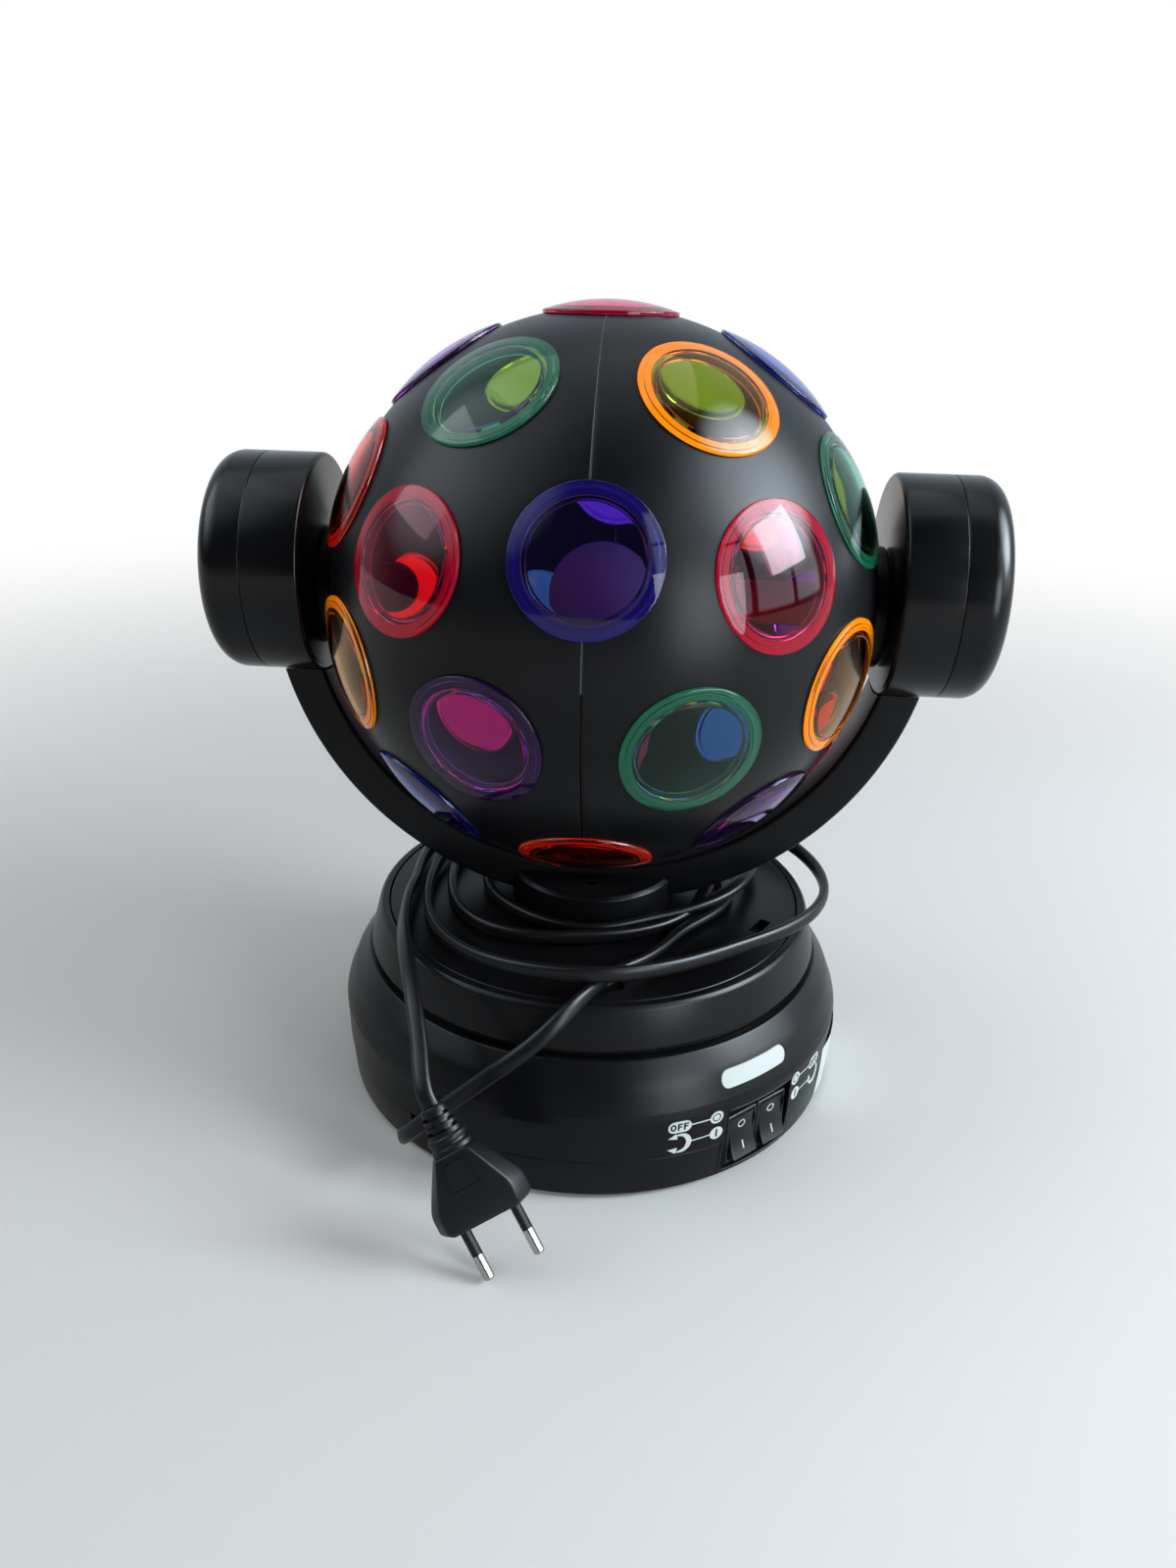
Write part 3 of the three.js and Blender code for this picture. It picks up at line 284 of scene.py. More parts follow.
# Lamp in the middle of the ball, on the fixed axle through the right hub
BULB_RADIUS = 19.9
BULB_NECK = 8.9
BULB_NECK_EASE = 8
BULB_STEPS = 30
BULB_NECK_PROFILE = ((9.2, 22.0), (8.9, 30.0), (8.9, 43.8), (0, 43.8))
AXLE_PROFILE = (
    (5, 44), (5, 107.5), (14, 107.5, 0.4), (14, 105.1, 0.4), (8, 105.1, 0.4), (8, 50, 1.2), (13, 50, 0.8),
    (13, 28, 0.6), (9.3, 28, 0.4), (9.3, 44),
)

# Cord: the route out of the base, the winding (radius, height, lie for each eighth of a turn) and the way to the plug
CORD_ROUTE_IN = (
    (-56.04, -78.56, 13.8), (-60.7, -85.1, 13.8), (-62.2, -91.5, 15.6), (-60.6, -97, 20), (-56.3, -100.4, 26),
    (-50.5, -101.4, 32), (-43.5, -101.2, 38.6), (-35.5, -101.4, 45.8), (-28.2, -101.9, 52.9),
    (-21.4, -101.8, 58.9), (-14.6, -100.2, 64.4), (-7.9, -97, 70), (-2, -92, 74.8),
    (3, -84.5, 76.6), (7.5, -76, 75.9),
)
WINDING_ROWS = (
    (73, 75.9, 1), (50.4, 75.4, 0.3), (54.5, 74.9, 0), (48.5, 74.9, 0), (46, 75.8, 0.8), (45, 75.9, 1),
    (44, 75.9, 1), (39.4, 75.8, 0.85), (38.4, 75.6, 0.75), (39.2, 76.3, 0.6), (61, 80.8, 0), (79, 76.8, 0.8),
    (72, 75.9, 1), (65, 75.9, 1), (58.6, 75.9, 1), (56.6, 75.9, 1), (44.8, 75.9, 1), (43.6, 75.6, 0.6),
    (46.8, 77.8, 0), (53.5, 80.6, 0), (61, 81.3, 0), (71, 81.4, 0), (66.4, 76.8, 0.9), (73.5, 76.2, 1),
    (81, 82.4, 1), (77, 80, 1), (94, 79, 1), (86, 80, 1), (82, 78.4, 1), (78.5, 77.4, 1), (72.6, 77, 1),
)
WINDING_FROM = 15
WINDING_TO = 1350
WINDING_STEP = 2.5
WINDING_SPACING = 45
WINDING_REACH = 0.5
CORD_ROUTE_OUT = (
    (-72.6, -16, 77.5), (-71.8, -30, 78), (-69.6, -46, 78.6), (-66.2, -60, 79), (-61.8, -74, 78.3),
    (-57.9, -86, 75.8), (-54.6, -96, 71.0), (-51.4, -105, 65.0),
)
CORD_EASE_ROUNDS = 14
CORD_TAIL = 6.3
CORD_TAIL_STEP = 3.0
CORD_SPAN_STEPS = 6
CORD_SMOOTH = 60
CORD_SQUARENESS = 2.3
CORD_STRAIGHT = 6.0
CORD_INSIDE = 2.0
# How the flat side leans on the way up, and over which shares of the first and last stretch it twists
LEAN_SHARE = 0.35
TWIST_IN_SHARES = (0.6, 0.38)
TWIST_OUT_SHARE = 0.55

# Plug: face centre and directions along and across the pins
PLUG_FACE = Vector((-24.4, -132.9, 20.6))
PIN_WAY = Vector((0.511, -0.317, -0.799)).normalized()
PLUG_ACROSS = Vector((0.872, 0.24, 0.427))
PLUG_ACROSS = (PLUG_ACROSS - PIN_WAY * PLUG_ACROSS.dot(PIN_WAY)).normalized()
PLUG_FRONT = PLUG_ACROSS.cross(PIN_WAY).normalized()
PLUG_LENGTH = 25.0
RELIEF_LENGTH = 15.5
PLUG_HALF = 17.6
PLUG_FLAT = 13.0
PLUG_DEPTH = 6.85
PLUG_SIDE_ROUND = 3.0
PLUG_FACE_ROUND = 1.6
PANEL_CORNERS = ((-5.4, -13.0, 1.0), (5.4, -13.0, 1.0), (3.4, -21.8, 1.4), (-3.4, -21.8, 1.4))
PANEL_LINE = 0.6
PANEL_RISE = 0.45
PANEL_ROOT = 1.0
# Distance behind the pin face, half width and half depth
PLUG_STATIONS = (
    (-25.0, 7.3, 6.0), (-24.6, 7.8, 6.5), (-23.8, 8.4, 6.7), (-15.6, 13.4, 6.85), (-11.6, 15.7, 6.85),
    (-9.6, 16.75, 6.85), (-8.0, 17.35, 6.85), (-6.4, 17.6, 6.85), (-1.9, 17.6, 6.85), (-1.3, 17.2, 6.65),
    (-0.25, 16.2, 6.0), (0.0, 15.8, 5.8),
)
# Distance behind the pin face and width of the strain relief
RELIEF_STATIONS = (
    (-40.5, 7.4), (-40.2, 8.1), (-39.6, 8.6), (-31.4, 11.6), (-30.5, 12.1), (-30.2, 13.1), (-29.8, 13.7),
    (-28.6, 13.7), (-28.2, 13.3), (-27.9, 12.3), (-27.1, 12.3), (-26.8, 13.5), (-26.4, 14.1), (-24.0, 14.4),
)
RELIEF_FLAT = 0.82
RELIEF_MOUTH = 0.3
RELIEF_GAPS = ((-38.0, -36.7), (-35.6, -34.3), (-33.2, -31.9))
RELIEF_GAP_DEPTH = 1.5
RELIEF_GAP_REACH = 2.0
RELIEF_GAP_STARTS = (12, 192)
RELIEF_GAP_SWEEP = 156
RELIEF_GAP_STEPS = 24
PIN_APART = 9.3
PIN_SLEEVE = ((0, 0.0), (1.9, 0.0), (1.9, 10.2, 0.15), (1.6, 10.3), (0, 10.3))
PIN_TIP = ((0, 9.9), (1.95, 9.9), (1.95, 19.0, 1.7), (0, 19.0))
PIN_TIP_STEP = 9

# Signs beside the switches, by distance round the wall from the front and by height
SIGN_PLACES = (
    {"ring": (54.0, 30.4), "disc": (54.3, 23.2), "pill": (39.3, 30.25), "arrow": (39.9, 22.8), "side": -1, "heads": 2},
    {"ring": (95.3, 29.0), "disc": (96.4, 21.6), "pill": (110.4, 28.6), "arrow": (111.9, 21.4), "side": 1, "heads": 1},
)
SIGN_DISC = 2.7
SIGN_PILL = (9.0, 5.0)
SIGN_RING = (1.3, 1.75)
SIGN_BAR = (0.75, 3.5)
SIGN_LINE = 0.5
SIGN_LINE_STARTS = 2.6
SIGN_LINE_ENDS = {"pill": 4.4, "arrow": 4.2}
# For each count of heads: the crescent's sweep, and tip, base and width of every head
SIGN_ARROWS = {
    2: ((112, -112), (((-4.9, 2.5), (-1.5, 3.3), 2.7), ((-4.8, -2.3), (-1.5, -3.2), 2.7))),
    1: ((70, -160), (((-4.6, 2.2), (-3.9, -1.2), 2.8),)),
}
CRESCENT = {"outer": 4.3, "thick": 2.1, "thin": 0.6, "steps": 36}
# Letters of OFF: half widths and half heights of the O, and the places and strokes of an F
LETTER_O_PLACE = -2.5
LETTER_O_INNER = (0.5, 0.85)
LETTER_O_OUTER = (1.15, 1.5)
LETTER_F_PLACES = (-0.55, 1.8)
LETTER_F_STEM = (0.72, 3.0)
LETTER_F_ARMS = ((1.19, 1.6, 0.62), (0.03, 1.35, 0.6))
LETTER_THICKNESS = 0.04
INK_ROOT = -0.02
# Steps round and along the signs' parts, rows across them, and the narrowest share of a part's width
RING_STEPS = 36
LETTER_STEPS = 28
PILL_STEPS = 12
DISC_STEPS = 24
LINE_STEPS = 8
HEAD_STEPS = 6
SIGN_ROWS = 3
NARROWEST = 0.01

# Bare plates: the pill above the switches and the plate round the side, which stands a little off the wall
SHOULDER_PLATE = {"angle": 41.2, "height": 43.0, "width": 32.6, "depth": 6.3, "thickness": 0.16, "root": -0.05}
SHOULDER_PLATE_ROWS = 10
PLATE_SMOOTH = 50
SIDE_PLATE_ANGLES = (68.6, 99.5)
SIDE_PLATE_HEIGHTS = (3.2, 26.4)
SIDE_PLATE_STEPS = 40
SIDE_PLATE_ROWS = 12
SIDE_PLATE_THICKNESS = 0.14
SIDE_PLATE_LIFT = 0.75
SIDE_PLATE_RISE_SHARE = 0.2
SIDE_PLATE_FALL_SHARE = 0.3

# Camera
CAMERA_PLACE = (0.02331, -0.43315, 0.30825)
CAMERA_RIGHT = Vector((0.99710, 0.07207, 0.02429))
CAMERA_UP = Vector((-0.05098, 0.39640, 0.91665))
CAMERA_LENS = 27.27
CAMERA_SENSOR = 36.0
CAMERA_NEAR = 0.01

# Studio, in metres: name, place, aim, width, height, power and tint of each lamp
LAMPS = (
    ("window_right", (0.98, -0.18, 0.66), (0, 0, 0.16), 0.46, 0.42, 11.0, (0.84, 0.93, 1.0)),
    ("window_front", (0.80, -0.92, 0.31), (0, 0, 0.1), 0.42, 0.60, 8.5, (0.90, 0.96, 1.0)),
    ("soft_left", (-1.25, -0.1, 1.1), (0, 0, 0.14), 0.9, 0.7, 4.8, (0.95, 0.98, 1.0)),
    ("soft_top", (-0.1, 0.3, 1.9), (0, 0, 0.1), 1.6, 1.2, 6.5, (0.98, 0.99, 1.0)),
)
FILL_TINT = (0.93, 0.96, 1.0, 1)
FILL_STRENGTH = 0.31
MIRROR_TINT = (0.79, 0.90, 1.0, 1)
WHITE = (1, 1, 1, 1)

# What shiny pieces show: a room that is dark behind and pale in front, a window of panes, and two soft glows.
# Angles are degrees round from the front and degrees up; a glow has its direction, core, reach and power.
ROOM_FROM_TO = (-0.3, 0.85)
ROOM_LOW_HIGH = (0.03, 0.9)
WINDOW_POWER = 4.0
WINDOW_START = (33, 36)
WINDOW_EDGES = (("turn", 104, 101), ("rise", -1, 1), ("rise", 50, 47))
WINDOW_POSTS = (("turn", 58, 2.2), ("turn", 84, 1.6), ("rise", 33, 1.0))
WINDOW_POST_EDGE = 0.6
GLOWS = (((0.799, -0.028, 0.601), 0.995, 0.88, 20.0), ((-0.715, -0.152, 0.682), 0.98, 0.8, 3.0))

FLOOR_SIDES = 96
FLOOR_LEVEL = -0.6
FLOOR_CLOUD = 3.0
FLOOR_CLOUD_SHADE = 0.985
FLOOR_ROUGHNESS = 0.75
FLOOR_GLOSS = 0.15
FLOOR_FADE = (0.24, 1.15)


# ---------------------------------------------------------------- settings a user would change

class LightSizes(bpy.types.PropertyGroup):
    cord_width: FloatProperty(
        name="Cord width", description="Width of the flat cord", default=0.006, min=0.003, max=0.008,
        unit="LENGTH", precision=4)
    cord_thickness: FloatProperty(
        name="Cord thickness", description="Thickness of the flat cord", default=0.0038, min=0.002, max=0.006,
        unit="LENGTH", precision=4)
    seam_gap: FloatProperty(
        name="Seam gap", description="Open line between two moulded pieces", default=0.00016, min=0.0, max=0.001,
        unit="LENGTH", precision=5)
    pocket_lip: FloatProperty(
        name="Pocket edge", description="Radius of the raised round edge of the switch pocket", default=0.0003,
        min=0.0001, max=0.0008, unit="LENGTH", precision=4)
    print_lift: FloatProperty(
        name="Print thickness", description="How proud the printed signs stand of the wall", default=0.00005,
        min=0.00001, max=0.0005, unit="LENGTH", precision=5)
    floor_radius: FloatProperty(
        name="Floor radius", description="Radius of the studio floor", default=6.0, min=1.0, max=20.0, unit="LENGTH")


def colour(name, text, value):
    return FloatVectorProperty(name=name, description=text, subtype="COLOR", size=3, min=0.0, max=1.0, default=value)


class LightColours(bpy.types.PropertyGroup):
    plastic: colour("Housing plastic", "Black of the base, yoke and drums", (0.0024, 0.0025, 0.0030))
    ball: colour("Ball plastic", "Black of the ball halves", (0.0024, 0.0025, 0.0030))
    switch: colour("Switch plastic", "Black of the switches", (0.0038, 0.0038, 0.0043))
    cord: colour("Cord sheath", "Black of the cord", (0.0035, 0.0036, 0.0041))
    plug: colour("Plug", "Black of the moulded plug", (0.0046, 0.0050, 0.0058))
    metal: colour("Pins", "Nickel of the pins", (0.40, 0.385, 0.365))
    steel: colour("Motor cans", "Plated steel of the motors", (0.55, 0.55, 0.53))
    sign: colour("Printed signs", "White of the printed signs and plates", (0.50, 0.545, 0.54))
    indigo: colour("Indigo lens", "Tint of the indigo lenses", (0.14, 0.11, 0.60))
    crimson: colour("Crimson lens", "Tint of the crimson lenses", (0.84, 0.035, 0.17))
    violet: colour("Violet lens", "Tint of the violet lenses", (0.45, 0.13, 0.74))
    red: colour("Red lens", "Tint of the red lenses", (0.88, 0.10, 0.03))
    green: colour("Green lens", "Tint of the green lenses", (0.16, 0.58, 0.42))
    amber: colour("Amber lens", "Tint of the amber lenses", (0.95, 0.47, 0.03))
    blue: colour("Blue lens", "Tint of the blue lenses", (0.10, 0.15, 0.70))
    floor: colour("Floor", "Pale studio floor", (0.68, 0.68, 0.67))


# ---------------------------------------------------------------- outlines

def rounded(corners, loop=True, step=ROUND_STEP):
    """Outline through corners (x, y) or (x, y, radius), with each radius as a round corner."""
    points = []
    count = len(corners)
    for i, corner in enumerate(corners):
        here = Vector(corner[:2])
        radius = corner[2] if len(corner) > 2 else 0
        if radius <= 0 or (not loop and i in (0, count - 1)):
            points.append((here.x, here.y))
            continue
        back = Vector(corners[i - 1][:2]) - here
        ahead = Vector(corners[(i + 1) % count][:2]) - here
        reach = min(back.length, ahead.length) * CORNER_SHARE
        back.normalize()
        ahead.normalize()
        half = back.angle(ahead) / 2
        cut = min(radius / math.tan(half), reach)
        radius = cut * math.tan(half)
        centre = here + (back + ahead).normalized() * (radius / math.sin(half))
        first = here + back * cut - centre
        last = here + ahead * cut - centre
        start = math.atan2(first.y, first.x)
        sweep = math.atan2(last.y, last.x) - start
        sweep = (sweep + math.pi) % TURN - math.pi
        steps = max(2, math.ceil(abs(math.degrees(sweep)) / step))
        for k in range(steps + 1):
            angle = start + sweep * k / steps
            points.append((centre.x + radius * math.cos(angle), centre.y + radius * math.sin(angle)))
    return points


def arc(radius, start, end, steps, rise=0.0):
    """Points of a circle's arc between two angles in degrees, with its middle raised."""
    angles = [math.radians(start + (end - start) * i / steps) for i in range(steps + 1)]
    return [(radius * math.cos(a), rise + radius * math.sin(a)) for a in angles]


def rectangle(width, height, radius):
    """Outline of a rectangle with round corners, about its middle."""
    w, h = width / 2, height / 2
    return rounded([(-w, -h, radius), (w, -h, radius), (w, h, radius), (-w, h, radius)])


def inset(outline, distance):
    """The outline moved inwards by a distance; the outline runs anticlockwise."""
    count = len(outline)
    moved = []
    for i in range(count):
        here = Vector(outline[i])
        back = (here - Vector(outline[i - 1])).normalized()
        ahead = (Vector(outline[(i + 1) % count]) - here).normalized()
        normal = Vector((-back.y - ahead.y, back.x + ahead.x))
        if normal.length < TINY:
            normal = Vector((-ahead.y, ahead.x))
        normal.normalize()
        lean = max(LEAST_LEAN, normal.dot(Vector((-ahead.y, ahead.x))))
        moved.append(tuple(here + normal * (distance / lean)))
    return moved


# ---------------------------------------------------------------- meshes

def lathe(profile, sides, loop=True):
    """Surface of an outline of (radius, height) turned about the vertical axis."""
    verts, rows = [], []
    for radius, height in profile:
        if radius < TINY:
            rows.append([len(verts)] * sides)
            verts.append((0.0, 0.0, height))
            continue
        rows.append(list(range(len(verts), len(verts) + sides)))
        for k in range(sides):
            angle = TURN * k / sides
            verts.append((radius * math.cos(angle), radius * math.sin(angle), height))
    faces = []
    spans = len(rows) if loop else len(rows) - 1
    for i in range(spans):
        low, high = rows[i], rows[(i + 1) % len(rows)]
        for k in range(sides):
            m = (k + 1) % sides
            face = list(dict.fromkeys((low[k], low[m], high[m], high[k])))
            if len(face) > 2:
                faces.append(face)
    return verts, faces


def loft(rings, loop=False):
    """Skin over rings of points, with flat ends or closed on itself."""
    count = len(rings[0])
    verts = [tuple(p) for ring in rings for p in ring]
    faces = []
    spans = len(rings) if loop else len(rings) - 1
    for i in range(spans):
        a, b = i * count, ((i + 1) % len(rings)) * count
        for k in range(count):
            m = (k + 1) % count
            faces.append((a + k, a + m, b + m, b + k))
    if not loop:
        faces.append(tuple(range(count - 1, -1, -1)))
        last = (len(rings) - 1) * count
        faces.append(tuple(range(last, last + count)))
    return verts, faces


def prism(outline, low, high, radius, steps=3):
    """A flat outline given a thickness from low to high, with round edges."""
    if radius <= 0:
        return loft([[(x, y, z) for x, y in outline] for z in (low, high)])
    rings = []
    angles = [math.pi / 2 * k / steps for k in range(steps + 1)]
    for end, way, order in ((low, 1, angles), (high, -1, angles[::-1])):
        for angle in order:
            ring = inset(outline, radius * (1 - math.sin(angle)))
            rings.append([(x, y, end + way * radius * (1 - math.cos(angle))) for x, y in ring])
    return loft(rings)


def rod(radius, low, high, sides):
    """A plain turned cylinder, for cutting with."""
    return lathe([(0, low), (radius, low), (radius, high), (0, high)], sides, False)


def merged(*meshes):
    """Several meshes as one."""
    verts, faces = [], []
    for some_verts, some_faces in meshes:
        start = len(verts)
        verts.extend(some_verts)
        faces.extend(tuple(i + start for i in face) for face in some_faces)
    return verts, faces


def moved(mesh, matrix):
    """The mesh put through a matrix."""
    verts, faces = mesh
    return [tuple(matrix @ Vector(v)) for v in verts], faces


def along_x(mesh, side, height):
    """A turned mesh laid along +X or -X at a height."""
    verts, faces = mesh
    return [(z * side, x, y + height) for x, y, z in verts], faces


def block(width, depth, height, middle=(0, 0, 0)):
    """A plain box, for cutting with."""
    w, d, h = width / 2, depth / 2, height / 2
    verts = [(middle[0] + x, middle[1] + y, middle[2] + z) for x in (-w, w) for y in (-d, d) for z in (-h, h)]
    faces = [(0, 1, 3, 2), (4, 6, 7, 5), (0, 4, 5, 1), (2, 3, 7, 6), (0, 2, 6, 4), (1, 5, 7, 3)]
    return verts, faces


def smooth(mesh, angle):
    """Smooth shading with crisp edges above an angle."""
    mesh.shade_smooth()
    mesh.set_sharp_from_angle(angle=math.radians(angle))


def make(name, mesh, *materials, angle=SMOOTH_ANGLE):
    """A new object from a mesh in millimetres, with its faces turned outwards."""
    verts, faces = mesh
    data = bpy.data.meshes.new(name)
    data.from_pydata([Vector(v) * MM for v in verts], [], [tuple(f) for f in faces])
    work = bmesh.new()
    work.from_mesh(data)
    bmesh.ops.remove_doubles(work, verts=work.verts, dist=WELD)
    bmesh.ops.recalc_face_normals(work, faces=work.faces)
    work.to_mesh(data)
    work.free()
    smooth(data, angle)
    thing = bpy.data.objects.new(name, data)
    bpy.context.scene.collection.objects.link(thing)
    for material in materials:
        data.materials.append(material)
    return thing


def shape(thing, tool, how):
    """Cuts the tool's form out of a piece, or joins it on, and removes the tool."""
    step = thing.modifiers.new("shape", "BOOLEAN")
    step.operation = how
    step.solver = "EXACT"
    step.object = tool
    graph = bpy.context.evaluated_depsgraph_get()
    result = bpy.data.meshes.new_from_object(thing.evaluated_get(graph))
    thing.modifiers.clear()
    old = thing.data
    thing.data = result
    bpy.data.meshes.remove(old)
    old = tool.data
    bpy.data.objects.remove(tool)
    bpy.data.meshes.remove(old)
    if not len(result.polygons):
        raise RuntimeError(f"{thing.name}: nothing is left of the piece")
    smooth(result, SMOOTH_ANGLE)
    return thing


def cut(thing, mesh):
    return shape(thing, make("tool", mesh), "DIFFERENCE")


def join(thing, mesh):
    return shape(thing, make("tool", mesh), "UNION")


def settle(thing, body, slot=None, *nodes):
    """Puts a finished piece on its body and in the place of its nodes, which it hides; the slot is not used."""
    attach(thing, body)
    if nodes:
        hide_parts(*nodes)


# ---------------------------------------------------------------- finishes

class Nodes:
    """A node tree, with short ways to add and join the nodes that finishes and studio share."""

    def __init__(self, tree):
        self.tree = tree
        tree.nodes.clear()

    def add(self, kind, **values):
        node = self.tree.nodes.new("ShaderNode" + kind)
        for key, value in values.items():
            node.inputs[key.replace("_", " ")].default_value = value
        return node

    def link(self, source, target):
        self.tree.links.new(source, target)

    def spread(self, source, low, high, start=0.3, end=0.7, way="LINEAR"):
        """Maps a value's range from start to end onto low to high."""
        node = self.add("MapRange", From_Min=start, From_Max=end, To_Min=low, To_Max=high)
        node.interpolation_type = way
        self.link(source, node.inputs["Value"])
        return node.outputs["Result"]

    def step(self, source, start, end, low=0.0, high=1.0):
        return self.spread(source, low, high, start, end, "SMOOTHSTEP")

    def maths(self, kind, *terms):
        """A sum of outputs and numbers."""
        node = self.add("Math")
        node.operation = kind
        for socket, term in zip(node.inputs, terms):
            if isinstance(term, bpy.types.NodeSocket):
                self.link(term, socket)
            else:
                socket.default_value = term
        return node.outputs["Value"]

    def vector(self, kind, source, output, other=(0, 0, 0)):
        """A number worked out from a direction or place."""
        node = self.add("VectorMath")
        node.operation = kind
        node.inputs[1].default_value = other
        self.link(source, node.inputs[0])
        return node.outputs[output]

    def blend(self, factor, first, second):
        """One shader where the factor is 0, another where it is 1."""
        node = self.add("MixShader")
        for socket, source in zip(node.inputs, (factor, first, second)):
            self.link(source, socket)
        return node.outputs["Shader"]


class Finish(Nodes):
    """A material's node tree round one shader, with textures laid in the piece's own space."""

    def __init__(self, name):
        self.material = bpy.data.materials.new(name)
        self.material.use_nodes = True
        super().__init__(self.material.node_tree)
        self.out = self.add("OutputMaterial")
        self.shader = self.add("BsdfPrincipled")
        self.link(self.shader.outputs["BSDF"], self.out.inputs["Surface"])
        self.place = self.add("TexCoord").outputs["Object"]

    def set(self, **values):
        for key, value in values.items():
            self.shader.inputs[key.replace("_", " ")].default_value = value

    def noise(self, scale, detail=2.0, rough=0.5):
        node = self.add("TexNoise", Scale=scale, Detail=detail, Roughness=rough)
        self.link(self.place, node.inputs["Vector"])
        return node.outputs["Fac"]

    def mix(self, factor, first, second):
        node = self.add("Mix")
        node.data_type = "RGBA"
        self.link(factor, node.inputs["Factor"])
        for key, value in (("A", first), ("B", second)):
            socket = [s for s in node.inputs if s.name == key and s.type == "RGBA"][0]
            if isinstance(value, bpy.types.NodeSocket):
                self.link(value, socket)
            else:
                socket.default_value = (*value, 1.0)
        return [s for s in node.outputs if s.type == "RGBA"][0]

    def surface(self, tone, rough, height, depth):
        """Joins the colour, the roughness and the skin's relief to the shader."""
        relief = self.add("Bump", Distance=depth, Strength=1.0)
        self.link(height, relief.inputs["Height"])
        self.link(tone, self.shader.inputs["Base Color"])
        self.link(rough, self.shader.inputs["Roughness"])
        self.link(relief.outputs["Normal"], self.shader.inputs["Normal"])
        return self.material


def lighter(value, amount):
    return tuple(c + (1 - c) * amount for c in value)


def scaled(value, factor):
    return tuple(min(1.0, c * factor) for c in value)


FINISHES = {}
PLASTIC_GLOSS = 0.13
INK_GLOSS = 0.08
DUST = (0.42, 0.41, 0.40)
DUST_RANGE = (0.74, 0.82)
# Textures by scale, detail and roughness
CLOUDS = (22.0, 3.0, 0.55)
SPECKS = (2600.0, 1.0, 0.4)
POLISH_LINES = (900.0, 4.0, 0.7)
FLOW_MARKS = (38.0, 2.0, 0.5)
LENS_SMEARS = (160.0, 3.0)
INK_SPOTS = (1500.0, 2.0, 0.5)
GLASS_SMEARS = (60.0, 2.0)
# The light's plastics: the colour each takes, its roughness and how far that wanders, grain, grain depth, dust, gloss
PLASTICS = {
    "satin_black_housing": ("plastic", 0.31, 0.035, 1500.0, 0.000008, 0.03, PLASTIC_GLOSS),
    "satin_black_ball": ("ball", 0.32, 0.035, 1100.0, 0.000009, 0.03, PLASTIC_GLOSS),
    "polished_black_drum": ("plastic", 0.23, 0.03, 900.0, 0.000005, 0.03, 0.17),
    "switch_black": ("switch", 0.30, 0.03, 2200.0, 0.000006, 0.015, 0.22),
    "cord_sheath": ("cord", 0.33, 0.04, 1300.0, 0.00001, 0.02, 0.19),
    "plug_black": ("plug", 0.38, 0.04, 1800.0, 0.000012, 0.02, 0.16),
}
# The other moulded skins, in the same order after the colour
# The seam's skin is a painted highlight: a lighter grey that stands in for the light the seam's chamfer catches
SEAM_PAINTED_HIGHLIGHT = ((0.10, 0.11, 0.12), 0.55, 0.1, 700.0, 0.00003, 0.05)
AXLE_GREY = ((0.30, 0.30, 0.29), 0.5, 0.05, 900.0, 0.00001)
RIM_SKIN = (0.35, 0.05, 400.0, 0.00002, 0.0)
LENS_INDEX = 1.29
LENS_ROUGHNESS = 0.015
PIN_ROUGHNESS = 0.2
STEEL_ROUGHNESS = 0.32
SIGN_BLACK = (0.012, 0.012, 0.013)
PEARL_GLASS = ((0.80, 0.79, 0.77), (0.86, 0.85, 0.83))


def kept(build):
    """Makes each finish one time and keeps it under its name."""
    def finish(name, *values, **more):
        if name not in FINISHES:
            FINISHES[name] = build(Finish(name), *values, **more)
        return FINISHES[name]
    return finish


@kept
def moulded(f, base, rough, rough_spread, grain, grain_depth, dust=0.03, gloss=PLASTIC_GLOSS):
    """Black moulded plastic: a fine skin grain, cloudy gloss from handling, and a little dust."""
    clouds = f.noise(*CLOUDS)
    f.set(Specular_IOR_Level=gloss)
    tone = f.mix(f.spread(clouds, 0.0, 1.0), base, lighter(base, 0.003))
    tone = f.mix(f.spread(f.noise(*SPECKS), 0.0, dust, *DUST_RANGE), tone, DUST)
    sheen = f.spread(clouds, rough - rough_spread, rough + rough_spread)
    return f.surface(tone, sheen, f.noise(grain, 2.0, 0.6), grain_depth)


@kept
def metal(f, base, rough):
    """Plated metal with fine lines of polishing."""
    f.set(Metallic=1.0)
    lines = f.noise(*POLISH_LINES)
    tone = f.mix(f.spread(lines, 0.0, 1.0), scaled(base, 0.86), base)
    return f.surface(tone, f.spread(lines, rough * 0.7, rough * 1.4), lines, 0.00001)


@kept
def lens_finish(f, tint):
    """Clear tinted plastic with faint flow marks."""
    f.set(Transmission_Weight=1.0, IOR=LENS_INDEX)
    flow = f.noise(*FLOW_MARKS)
    tone = f.mix(f.spread(flow, 0.0, 1.0), scaled(tint, 0.93), tint)
    smears = f.spread(f.noise(*LENS_SMEARS), LENS_ROUGHNESS * 0.6, LENS_ROUGHNESS * 1.6)
    return f.surface(tone, smears, flow, 0.00003)


@kept
def printed_finish(f, base):
    """Screen print: even, slightly rough ink with tiny thin spots."""
    spots = f.noise(*INK_SPOTS)
    f.set(Specular_IOR_Level=INK_GLOSS)
    tone = f.mix(f.spread(spots, 0.0, 1.0), scaled(base, 0.93), base)
    return f.surface(tone, f.spread(spots, 0.4, 0.55), spots, 0.000006)


@kept
def pearl_glass(f, shade, bright):
    """A bulb's milky glass, a little uneven inside."""
    f.set(Transmission_Weight=0.25, IOR=1.3)
    smear = f.noise(*GLASS_SMEARS)
    tone = f.mix(f.spread(smear, 0.0, 1.0), shade, bright)
    f.link(tone, f.shader.inputs["Base Color"])
    f.link(f.spread(smear, 0.38, 0.5), f.shader.inputs["Roughness"])
    return f.material


